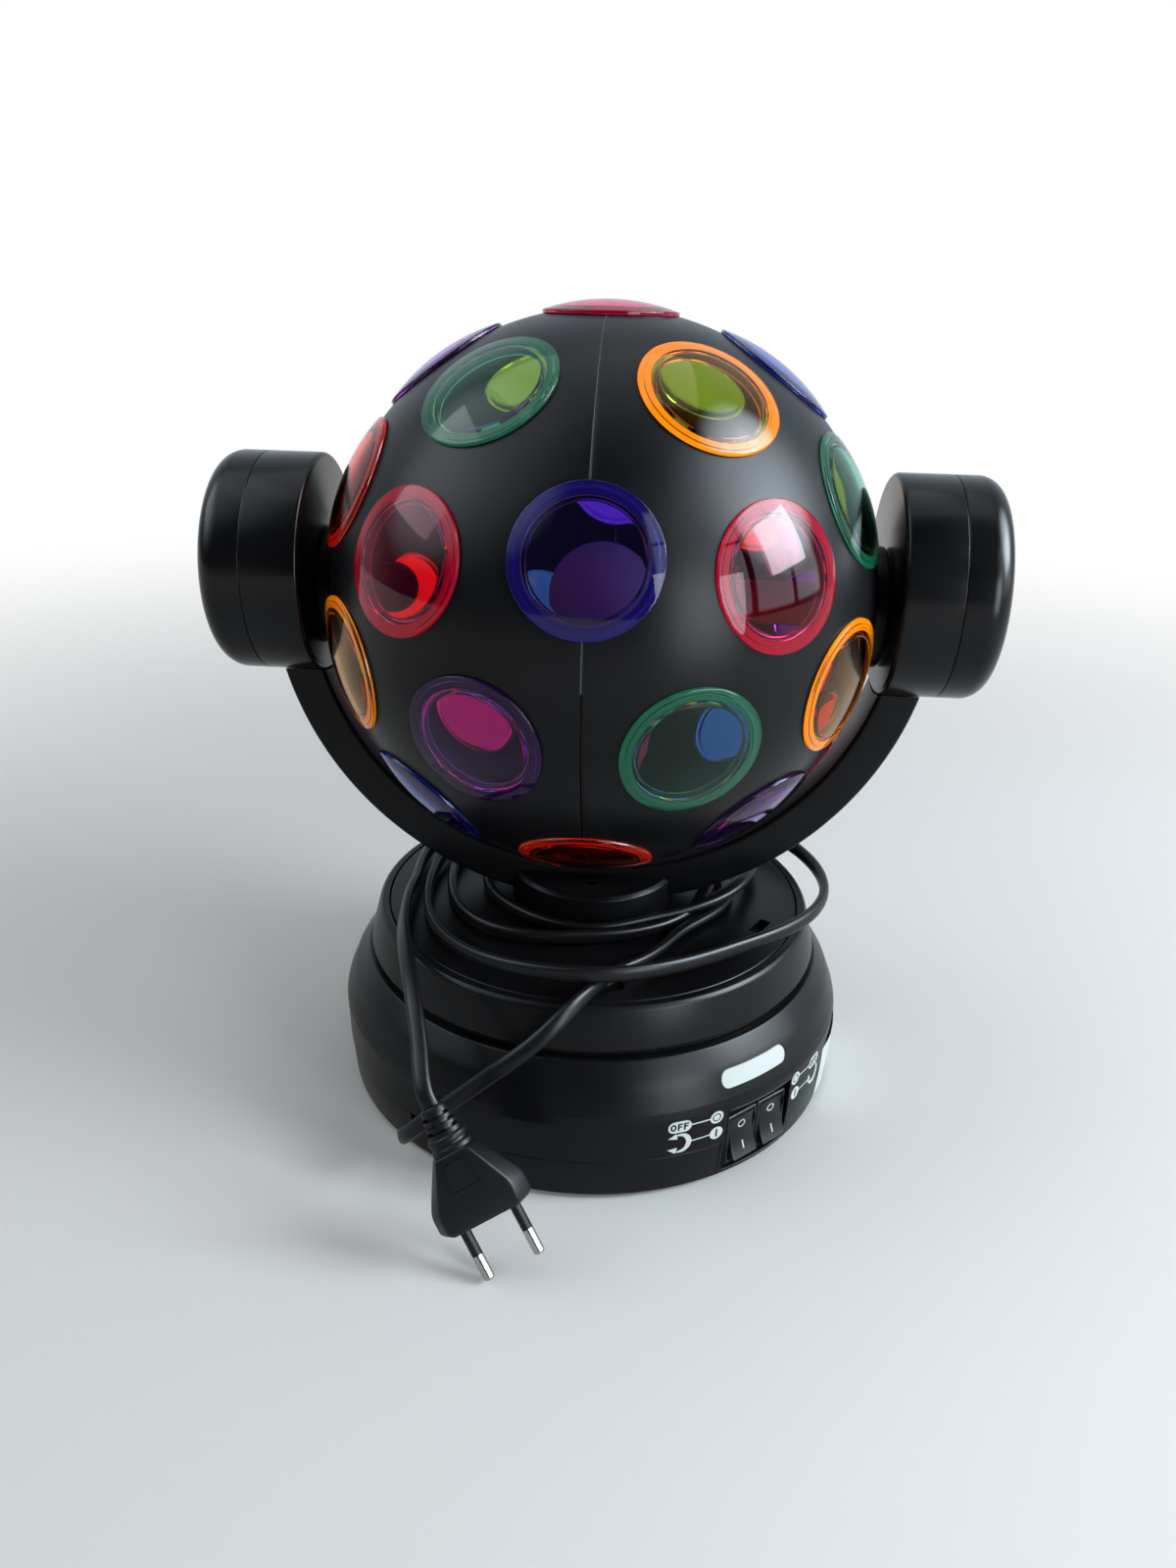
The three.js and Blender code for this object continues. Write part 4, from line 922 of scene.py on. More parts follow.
def black_plastic(name, colours):
    """One of the light's own plastics, in the colour that is set for it."""
    tone, *skin = PLASTICS[name]
    return moulded(name, tuple(getattr(colours, tone)), *skin)


# ---------------------------------------------------------------- the cord's line

def span_curve(points, per_span):
    """A smooth line through points, with equal shares of the root of each distance."""
    p = np.array(points, float)
    p = np.vstack([2 * p[0] - p[1], p, 2 * p[-1] - p[-2]])
    line = []
    for i in range(1, len(p) - 2):
        p0, p1, p2, p3 = p[i - 1:i + 3]
        d0, d1, d2 = (math.sqrt(np.linalg.norm(b - a)) for a, b in ((p0, p1), (p1, p2), (p2, p3)))
        t1 = ((p1 - p0) / d0 - (p2 - p0) / (d0 + d1) + (p2 - p1) / d1) * d1
        t2 = ((p2 - p1) / d1 - (p3 - p1) / (d1 + d2) + (p3 - p2) / d2) * d1
        for k in range(per_span):
            t = k / per_span
            square = -3 * p1 + 3 * p2 - 2 * t1 - t2
            cube = 2 * p1 - 2 * p2 + t1 + t2
            line.append(p1 + t1 * t + square * t ** 2 + cube * t ** 3)
    line.append(p[-2])
    return line


def winding_state(angle):
    """Radius, height and lie of the winding at an angle from its start."""
    at = angle / WINDING_SPACING
    i = min(max(math.floor(at), 0), len(WINDING_ROWS) - 2)
    t = at - i
    rows = [WINDING_ROWS[min(max(i + k, 0), len(WINDING_ROWS) - 1)] for k in (-1, 0, 1, 2)]
    state = []
    for p0, p1, p2, p3 in zip(*rows):
        cube = 3 * (p1 - p2) + p3 - p0
        square = 2 * p0 - 5 * p1 + 4 * p2 - p3
        state.append(p1 + t * (p2 - p0 + t * (square + t * cube)) / 2)
    return state


def winding_point(angle):
    radius, height, lie = winding_state(angle)
    return np.array((radius * math.sin(math.radians(angle)), -radius * math.cos(math.radians(angle)), height))


def winding_way(angle):
    way = winding_point(angle + WINDING_REACH) - winding_point(angle - WINDING_REACH)
    return way / np.linalg.norm(way)


def winding_flat(angle):
    """The direction through the thickness of the cord at an angle of the winding."""
    along = winding_way(angle)
    across = np.cross(along, (0, 0, 1))
    across /= np.linalg.norm(across)
    up = np.cross(across, along)
    lie = math.radians(90 * (1 - min(max(winding_state(angle)[2], 0), 1)))
    return across * math.cos(lie) - up * math.sin(lie)


def ease(value):
    value = min(max(value, 0.0), 1.0)
    return value * value * (3 - 2 * value)


def eased(points, rounds):
    """The line with its small bends evened out; its two ends stay where they are."""
    line = np.array(points)
    for _ in range(rounds):
        line[2:-2] = (line[1:-3] + 2 * line[2:-2] + line[3:-1]) / 4
    return list(line)


def cord_line():
    """Centre points of the whole cord and the direction through its thickness at each."""
    face, pin_way, front = (np.array(v) for v in (PLUG_FACE, PIN_WAY, PLUG_FRONT))
    start, way = winding_point(WINDING_FROM), winding_way(WINDING_FROM)
    lead = [start - way * (CORD_TAIL + CORD_TAIL_STEP), start - way * CORD_TAIL]
    first = eased(span_curve([*CORD_ROUTE_IN, *lead], CORD_SPAN_STEPS), CORD_EASE_ROUNDS)
    centres, flats = [], []
    begin_flat = winding_flat(WINDING_FROM)
    for i, p in enumerate(first):
        radial = np.array((p[0], p[1], LEAN_SHARE * np.hypot(p[0], p[1])))
        radial /= np.linalg.norm(radial)
        blend = ease((i / len(first) - TWIST_IN_SHARES[0]) / TWIST_IN_SHARES[1])
        centres.append(p)
        flats.append(radial * (1 - blend) + begin_flat * blend)
    count = round((WINDING_TO - WINDING_FROM) / WINDING_STEP)
    for k in range(count + 1):
        angle = WINDING_FROM + (WINDING_TO - WINDING_FROM) * k / count
        centres.append(winding_point(angle))
        flats.append(winding_flat(angle))
    end, way = winding_point(WINDING_TO), winding_way(WINDING_TO)
    entry = face - pin_way * (PLUG_LENGTH + RELIEF_LENGTH + RELIEF_MOUTH)
    lead = [end + way * CORD_TAIL, end + way * (CORD_TAIL + CORD_TAIL_STEP)]
    route = [*lead, *CORD_ROUTE_OUT, entry - pin_way * CORD_STRAIGHT, entry, entry + pin_way * CORD_INSIDE]
    last = eased(span_curve(route, CORD_SPAN_STEPS), CORD_EASE_ROUNDS)
    end_flat = winding_flat(WINDING_TO)
    for i, p in enumerate(last):
        blend = ease(i / len(last) / TWIST_OUT_SHARE)
        centres.append(p)
        flats.append(end_flat * (1 - blend) - front * blend)
    return centres, flats


def cord_mesh(centres, flats, width, thickness):
    """Flat oval tube along the line."""
    rings = []
    power = 2 / CORD_SQUARENESS
    for i, centre in enumerate(centres):
        along = centres[min(i + 1, len(centres) - 1)] - centres[max(i - 1, 0)]
        along = along / np.linalg.norm(along)
        thin = flats[i] - along * np.dot(flats[i], along)
        thin /= np.linalg.norm(thin)
        wide = np.cross(thin, along)
        ring = []
        for k in range(CORD_SIDES):
            angle = TURN * k / CORD_SIDES
            c, s = math.cos(angle), math.sin(angle)
            x = math.copysign(abs(c) ** power, c) * width / 2
            y = math.copysign(abs(s) ** power, s) * thickness / 2
            ring.append(centre + wide * x + thin * y)
        rings.append(ring)
    return loft(rings)


# ---------------------------------------------------------------- forms that several pieces share

COVER_OUTLINE = rounded([
    (0, 3), (96.0, 3, 0.4), (97.2, BOTTOM, 0.3), (99.9, BOTTOM, 0.9), (101.3, PARTING - PARTING_GAP, 0.45),
    (98.9, PARTING - PARTING_GAP, 0.2), (97.4, 5.5, 1.0), (20, 5.5), (20, 16), (0, 16),
], loop=False)

HOUSING_OUTER = rounded([
    (PARTING_RADIUS, PARTING + PARTING_GAP, 0.45), (WIDEST, 33.4, 1.6), (101.2, 36.6, 1.6), (97.6, 45.8, 20.0),
    (91.9, DECK, 1.1), (80.0, DECK),
], loop=False, step=FINE_STEP)


def wall_radius(height):
    """Radius of the base's outer wall at a height."""
    outer = [p for p in HOUSING_OUTER if p[0] > WALL_END]
    heights = [BOTTOM, PARTING] + [z for r, z in outer]
    radii = [BOTTOM_RADIUS, PARTING_RADIUS] + [r for r, z in outer]
    return float(np.interp(height, heights, radii))


POCKET_TURN = Matrix.Rotation(math.radians(POCKET_ANGLE), 4, "Z")


def pocket_block(width, inner, outer, low, high, side=0.0):
    """A box facing outwards at the switch pocket."""
    middle = (side, -(inner + outer) / 2, (low + high) / 2)
    return moved(block(width, outer - inner, high - low, middle), POCKET_TURN)


def turned(angle, radius=0.0, axis="Z"):
    """Turned about an axis by degrees; with a radius, out at the front first."""
    return Matrix.Rotation(math.radians(angle), 4, axis) @ Matrix.Translation((0, -radius, 0))


FACING = turned(90, axis="X")


# ---------------------------------------------------------------- pieces

class StageOperator(bpy.types.Operator):
    """Sets the camera, the soft lamps, the pale floor and the white surroundings"""
    bl_idname = "disco_light.stage"
    bl_label = "Studio"

    def execute(self, context):
        scene = context.scene
        camera = bpy.data.cameras.new("camera")
        camera.lens = CAMERA_LENS
        camera.sensor_width = CAMERA_SENSOR
        camera.clip_start = CAMERA_NEAR
        holder = bpy.data.objects.new("camera", camera)
        back = CAMERA_RIGHT.cross(CAMERA_UP)
        turn = Matrix((CAMERA_RIGHT, CAMERA_UP, back)).transposed().to_4x4()
        holder.matrix_world = Matrix.Translation(CAMERA_PLACE) @ turn
        scene.collection.objects.link(holder)
        scene.camera = holder
        scene.view_settings.view_transform = "Standard"
        for lamp in LAMPS:
            self.lamp(*lamp)
        self.surroundings(scene)
        self.floor(context)
        return {"FINISHED"}

    def lamp(self, name, place, aim, width, height, power, tint):
        data = bpy.data.lights.new(name, "AREA")
        data.shape = "RECTANGLE"
        data.size, data.size_y = width, height
        data.energy = power
        data.color = tint
        thing = bpy.data.objects.new(name, data)
        thing.location = place
        thing.rotation_euler = (Vector(aim) - Vector(place)).to_track_quat("-Z", "Y").to_euler()
        bpy.context.scene.collection.objects.link(thing)

    def surroundings(self, scene):
        """Soft fill for the pieces, white for the eye, and a room with a window for shiny pieces to show."""
        scene.world = bpy.data.worlds.new("studio_surroundings")
        scene.world.use_nodes = True
        n = Nodes(scene.world.node_tree)
        path = n.add("LightPath").outputs
        place = n.add("TexCoord").outputs["Generated"]
        split = n.add("SeparateXYZ")
        n.link(place, split.inputs["Vector"])
        x, y, z = split.outputs
        angles = {"turn": n.maths("ARCTAN2", x, n.maths("MULTIPLY", y, -1.0)), "rise": n.maths("ARCSINE", z)}

        def edge(angle, start, end, low=0.0, high=1.0):
            return n.step(angles[angle], math.radians(start), math.radians(end), low, high)

        panes = edge("turn", *WINDOW_START, 0.0, WINDOW_POWER)
        for angle, start, end in WINDOW_EDGES:
            panes = n.maths("MULTIPLY", panes, edge(angle, start, end))
        for angle, middle, half in WINDOW_POSTS:
            post = edge(angle, middle - half, middle - half + WINDOW_POST_EDGE, 1.0, 0.0)
            past = edge(angle, middle + half - WINDOW_POST_EDGE, middle + half)
            panes = n.maths("MULTIPLY", panes, n.maths("MAXIMUM", post, past))
        strength = n.maths("ADD", n.step(y, *ROOM_FROM_TO, *ROOM_LOW_HIGH), panes)
        for way, core, reach, power in GLOWS:
            near = n.vector("DOT_PRODUCT", place, "Value", way)
            strength = n.maths("ADD", strength, n.step(near, reach, core, 0.0, power))
        fill = n.add("Background", Color=FILL_TINT, Strength=FILL_STRENGTH)
        mirror = n.add("Background", Color=MIRROR_TINT)
        n.link(strength, mirror.inputs["Strength"])
        white = n.add("Background", Color=WHITE, Strength=1.0)
        seen = n.maths("MAXIMUM", path["Is Camera Ray"], path["Is Transmission Ray"])
        lit = n.blend(path["Is Glossy Ray"], fill.outputs["Background"], mirror.outputs["Background"])
        n.link(n.blend(seen, lit, white.outputs["Background"]), n.add("OutputWorld").inputs["Surface"])

    def floor(self, context):
        """A pale disc that fades to white away from the light and keeps its shadow."""
        radius = context.scene.light_sizes.floor_radius / MM
        angles = [TURN * k / FLOOR_SIDES for k in range(FLOOR_SIDES)]
        verts = [(radius * math.cos(a), radius * math.sin(a), FLOOR_LEVEL) for a in angles] + [(0, 0, FLOOR_LEVEL)]
        faces = [(k, (k + 1) % FLOOR_SIDES, FLOOR_SIDES) for k in range(FLOOR_SIDES)]
        f = Finish("pale_floor")
        base = tuple(context.scene.light_colours.floor)
        cloud = f.spread(f.noise(FLOOR_CLOUD), 0.0, 1.0)
        f.link(f.mix(cloud, scaled(base, FLOOR_CLOUD_SHADE), base), f.shader.inputs["Base Color"])
        f.set(Roughness=FLOOR_ROUGHNESS, Specular_IOR_Level=FLOOR_GLOSS)
        white = f.add("Emission", Strength=1.0)
        path = f.add("LightPath").outputs
        sharp = f.maths("MAXIMUM", path["Is Glossy Ray"], path["Is Transmission Ray"])
        direct = f.maths("MAXIMUM", path["Is Camera Ray"], sharp)
        seen = f.maths("MULTIPLY", direct, f.step(f.vector("LENGTH", f.place, "Value"), *FLOOR_FADE))
        both = f.blend(seen, f.shader.outputs["BSDF"], white.outputs["Emission"])
        f.link(both, f.out.inputs["Surface"])
        floor = make("floor", (verts, faces), f.material)
        if floor.data.polygons[0].normal.z < 0:
            floor.data.flip_normals()


class CordOperator(bpy.types.Operator):
    """Lays the flat cord from the base, round the boss and down to the plug"""
    bl_idname = "disco_light.cord"
    bl_label = "Cord"

    def execute(self, context):
        sizes = context.scene.light_sizes
        centres, flats = cord_line()
        mesh = cord_mesh(centres, flats, sizes.cord_width / MM, sizes.cord_thickness / MM)
        cord = make("cord", mesh, black_plastic("cord_sheath", context.scene.light_colours), angle=CORD_SMOOTH)
        settle(cord, "base", "cord_rubber", "cord_base_end", "cord_winding", "cord_plug_end")
        return {"FINISHED"}


class PlugOperator(bpy.types.Operator):
    """Makes the flat moulded plug with its ribbed strain relief and its two sleeved pins"""
    bl_idname = "disco_light.plug"
    bl_label = "Plug"

    def execute(self, context):
        colours = context.scene.light_colours
        place = Matrix((PLUG_ACROSS, PLUG_FRONT, PIN_WAY)).transposed().to_4x4()
        matrix = Matrix.Translation(PLUG_FACE * MM) @ place
        section = rounded([
            (-PLUG_HALF, 0, PLUG_SIDE_ROUND), (-PLUG_FLAT, -PLUG_DEPTH, PLUG_FACE_ROUND),
            (PLUG_FLAT, -PLUG_DEPTH, PLUG_FACE_ROUND), (PLUG_HALF, 0, PLUG_SIDE_ROUND),
            (PLUG_FLAT, PLUG_DEPTH, PLUG_FACE_ROUND), (-PLUG_FLAT, PLUG_DEPTH, PLUG_FACE_ROUND),
        ])
        rings = []
        for z, half, depth in PLUG_STATIONS:
            rings.append([(x * half / PLUG_HALF, y * depth / PLUG_DEPTH, z) for x, y in section])
        plug = make("plug_body_moulded", loft(rings), black_plastic("plug_black", colours))
        panel = rounded(PANEL_CORNERS)
        frames = []
        for side in (-1, 1):
            low, high = sorted((side * (PLUG_DEPTH - PANEL_ROOT), side * (PLUG_DEPTH + PANEL_RISE)))
            frames.append(moved(self.band(panel, inset(panel, PANEL_LINE), low, high), FACING))
        plug = join(plug, merged(*frames))
        angles = [TURN * m / RELIEF_SIDES for m in range(RELIEF_SIDES)]
        relief = [[(width / 2 * math.cos(a), width / 2 * RELIEF_FLAT * math.sin(a), z) for a in angles]
                  for z, width in RELIEF_STATIONS]
        plug = join(plug, loft(relief))
        plug = cut(plug, merged(*self.gaps()))
        plug.matrix_world = matrix
        settle(plug, "base", "plug_plastic", "plug_body")
        for i, side in enumerate((-1, 1), 1):
            self.pin(i, side * PIN_APART, matrix, colours)
        return {"FINISHED"}

    def band(self, outer, inner, low, high):
        """A closed frame between two outlines."""
        rings = [[(x, y, z) for x, y in line] for line, z in ((outer, low), (outer, high), (inner, high), (inner, low))]
        return loft(rings, loop=True)

    def gaps(self):
        """The windows of the strain relief: three rows, each turned a quarter from the last."""
        windows = []
        for row, (low, high) in enumerate(RELIEF_GAPS):
            width = float(np.interp((low + high) / 2, *zip(*sorted(RELIEF_STATIONS))))
            inner, outer = width / 2 - RELIEF_GAP_DEPTH, width / 2 + RELIEF_GAP_REACH
            for start in RELIEF_GAP_STARTS:
                rings = []
                for k in range(RELIEF_GAP_STEPS + 1):
                    angle = math.radians(start + 90 * row + RELIEF_GAP_SWEEP * k / RELIEF_GAP_STEPS)
                    c, s = math.cos(angle), math.sin(angle) * RELIEF_FLAT
                    rings.append([
                        (inner * c, inner * s, low), (outer * c, outer * s, low),
                        (outer * c, outer * s, high), (inner * c, inner * s, high),
                    ])
                windows.append(loft(rings))
        return windows

    def pin(self, number, across, matrix, colours):
        """A bright pin in its black sleeve."""
        sleeve = lathe(rounded(PIN_SLEEVE, loop=False), SMALL_SIDES, False)
        tip = lathe(rounded(PIN_TIP, loop=False, step=PIN_TIP_STEP), SMALL_SIDES, False)
        shift = Matrix.Translation((across, 0, 0))
        nickel = metal("pin_nickel", tuple(colours.metal), PIN_ROUGHNESS)
        cover = make(f"plug_sleeve_{number}", moved(sleeve, shift), black_plastic("plug_black", colours))
        bright = make(f"plug_contact_{number}", moved(tip, shift), nickel)
        cover.matrix_world = bright.matrix_world = matrix
        settle(cover, "base", "plug_plastic")
        settle(bright, "base", "pin_metal", f"plug_pin_{number}")


class BaseOperator(bpy.types.Operator):
    """Makes the base cover with its feet and the base housing with its switch pocket"""
    bl_idname = "disco_light.base"
    bl_label = "Base"

    def execute(self, context):
        plastic = black_plastic("satin_black_housing", context.scene.light_colours)
        cover = make("base_cover_moulded", lathe(COVER_OUTLINE, BASE_SIDES, False), plastic)
        foot = lathe(rounded(FOOT_PROFILE, loop=False), SMALL_SIDES, False)
        feet = []
        for k in range(FOOT_COUNT):
            angle = TURN * (k + 0.5) / FOOT_COUNT
            spot = Matrix.Translation((FOOT_CIRCLE * math.cos(angle), FOOT_CIRCLE * math.sin(angle), 0))
            feet.append(moved(foot, spot))
        cover = join(cover, merged(*feet))
        notch = pocket_block(TONGUE_WIDTH + 2 * TONGUE_GAP, TONGUE_BACK - TONGUE_GAP, POCKET_CUT_END,
                             -CUT_MARGIN, PARTING + CUT_MARGIN)
        cover = cut(cover, notch)
        slot = prism(rectangle(*EXIT_SLOT), -EXIT_REACH, EXIT_REACH, 0)
        place = turned(EXIT_ANGLE) @ Matrix.Translation((0, -BOTTOM_RADIUS, PARTING)) @ FACING
        cover = cut(cover, moved(slot, place))
        settle(cover, "base", "black_plastic", "base_cover")

        outline = HOUSING_OUTER + rounded([*BEARING_TUBE, *HOUSING_INNER], loop=False)
        housing = make("base_housing_moulded", lathe(outline, BASE_SIDES), plastic)
        tongue = make("tongue", lathe(rounded(TONGUE_PROFILE), BASE_SIDES), plastic)
        keep = make("tool", pocket_block(TONGUE_WIDTH, TONGUE_BACK, POCKET_CUT_END, 0, TONGUE_TOP))
        housing = shape(housing, shape(tongue, keep, "INTERSECT"), "UNION")
        opening = prism(rectangle(*POCKET_OUTLINE), POCKET_FACE, POCKET_CUT_END, 0)
        lie = Matrix.Translation((0, 0, POCKET_MIDDLE)) @ FACING
        housing = cut(housing, moved(opening, POCKET_TURN @ lie))
        holes = [pocket_block(CASE_HOLE_WIDTH, CASE_HOLE_BACK, WIDEST, SWITCH_HEIGHT - CASE_HOLE_HALF,
                              SWITCH_HEIGHT + CASE_HOLE_HALF, side) for side in SWITCH_SIDES]
        housing = cut(housing, merged(*holes))
        settle(housing, "base", "black_plastic", "base_housing")
        width, height = (size + POCKET_LIP_MARGIN for size in POCKET_OUTLINE[:2])
        radius = context.scene.light_sizes.pocket_lip / MM
        lip = self.edge(width, height, POCKET_MIDDLE, radius)
        settle(make("pocket_edge", lip, plastic), "base", "black_plastic")
        return {"FINISHED"}

    def edge(self, width, height, middle, radius):
        """A thin round edge that follows the wall round the switch pocket."""
        corners = rectangle(width, height, POCKET_LIP_CORNER)
        line = []
        for i, (x, z) in enumerate(corners):
            ahead = corners[(i + 1) % len(corners)]
            steps = max(1, round(math.dist((x, z), ahead) / POCKET_LIP_STEP))
            line += [(x + (ahead[0] - x) * k / steps, z + (ahead[1] - z) * k / steps + middle) for k in range(steps)]
        centres = [Vector((x, -math.sqrt(wall_radius(z) ** 2 - x ** 2), z)) for x, z in line]
        rings = []
        for i, centre in enumerate(centres):
            along = (centres[(i + 1) % len(centres)] - centres[i - 1]).normalized()
            out = Vector((centre.x, centre.y, 0)).normalized()
            out = (out - along * out.dot(along)).normalized()
            side = along.cross(out)
            angles = [TURN * k / LIP_SIDES for k in range(LIP_SIDES)]
            rings.append([POCKET_TURN @ (centre + (out * math.cos(a) + side * math.sin(a)) * radius) for a in angles])
        return loft(rings, loop=True)


class SwitchOperator(bpy.types.Operator):
    """Makes the two switch cases and their hollow-faced rockers with the O and I marks"""
    bl_idname = "disco_light.switches"
    bl_label = "Switches"

    def execute(self, context):
        colours = context.scene.light_colours
        plastic = black_plastic("switch_black", colours)
        white = printed_finish("switch_mark", tuple(colours.sign))
        for i, side in enumerate(SWITCH_SIDES, 1):
            place = POCKET_TURN @ Matrix.Translation((side, 0, SWITCH_HEIGHT))
            stand = place @ FACING
            bezel = prism(rectangle(*BEZEL_OUTLINE), POCKET_FACE, POCKET_FACE + BEZEL_THICKNESS, BEZEL_ROUND)
            case = make(f"switch_frame_{i}", moved(bezel, stand), plastic)
            case = join(case, pocket_block(CASE_WIDTH, CASE_BACK, CASE_FRONT, SWITCH_HEIGHT - CASE_HALF,
                                           SWITCH_HEIGHT + CASE_HALF, side))
            case = cut(case, moved(prism(rectangle(*WELL_OUTLINE), WELL_FLOOR, POCKET_CUT_END, 0), stand))
            case = cut(case, moved(block(*CATCH_SIZE, CATCH_PLACE), place))
            settle(case, "base", "switch_plastic", f"switch_case_{i}")
            self.rocker(i, side, plastic, white)
        return {"FINISHED"}

    def face(self, v):
        """How far the rocker's face stands from its pivot at a place along it."""
        return FACE_LOW + FACE_RISE * (v / FACE_HALF) ** 2

    def rocker(self, number, side, plastic, white):
        """A rocker whose pressed-in end is the upper one."""
        ends = arc(ROCKER_RADIUS, ROCKER_TIP_ANGLE, ROCKER_BACK_ANGLE, ROCKER_END_STEPS)
        along = [FACE_HALF * (1 - 2 * k / FACE_STEPS) for k in range(1, FACE_STEPS)]
        outline = [*ends[::-1], *[(v, self.face(v)) for v in along], *[(-v, u) for v, u in ends]]
        body = prism(outline, -ROCKER_HALF_WIDTH, ROCKER_HALF_WIDTH, ROCKER_ROUND, 2)
        tilt = math.radians(ROCKER_TILT)
        swing = Matrix((
            (0, 0, 1, 0),
            (math.sin(tilt), -math.cos(tilt), 0, 0),
            (math.cos(tilt), math.sin(tilt), 0, 0),
            (0, 0, 0, 1),
        ))
        place = POCKET_TURN @ Matrix.Translation((side, -ROCKER_PIVOT, SWITCH_HEIGHT)) @ swing
        thing = make(f"switch_rocker_{number}_key", moved(body, place), plastic)
        settle(thing, f"switch_rocker_{number}", "switch_plastic", f"rocker_{number}")

        def on_face(s, v, lift):
            return place @ Vector((v, self.face(v) + lift, s))

        ring = oval_band(0, RING_MARK_PLACE, RING_MARK_INNER, RING_MARK_OUTER, RING_MARK_STEPS)
        bar = [((-BAR_MARK_HALF, v), (BAR_MARK_HALF, v)) for v in BAR_MARK_PLACES]
        marks = make(f"switch_marks_{number}", printed([ring, bar], on_face, 0.0, MARK_THICKNESS, 1), white)
        settle(marks, f"switch_rocker_{number}")


def oval_band(s, z, inner, outer, steps):
    """Pairs of points round an oval ring, from its half widths and half heights inside and outside."""
    angles = [TURN * k / steps for k in range(steps + 1)]
    return [tuple((s + width * math.cos(a), z + height * math.sin(a)) for width, height in (inner, outer))
            for a in angles]


def printed(ribbons, surface, low, high, rows):
    """Thin solid bands between pairs of points, laid on a surface."""
    meshes = []
    for pairs in ribbons:
        verts, faces = [], []
        width = rows + 1
        for lift in (low, high):
            for a, b in pairs:
                for r in range(width):
                    t = r / rows
                    verts.append(tuple(surface(a[0] + (b[0] - a[0]) * t, a[1] + (b[1] - a[1]) * t, lift)))
        top = len(pairs) * width
        for i in range(len(pairs) - 1):
            for r in range(rows):
                p = i * width + r
                q = p + width
                faces.append((p, p + 1, q + 1, q))
                faces.append((p + top, q + top, q + 1 + top, p + 1 + top))
        closed = all(math.dist(pairs[0][k], pairs[-1][k]) < TINY for k in (0, 1))
        for i in range(len(pairs) - 1):
            for r in (0, rows):
                p = i * width + r
                faces.append((p, p + width, p + width + top, p + top))
        if not closed:
            for i in (0, len(pairs) - 1):
                for r in range(rows):
                    p = i * width + r
                    faces.append((p, p + 1, p + 1 + top, p + top))
        meshes.append((verts, faces))
    return merged(*meshes)


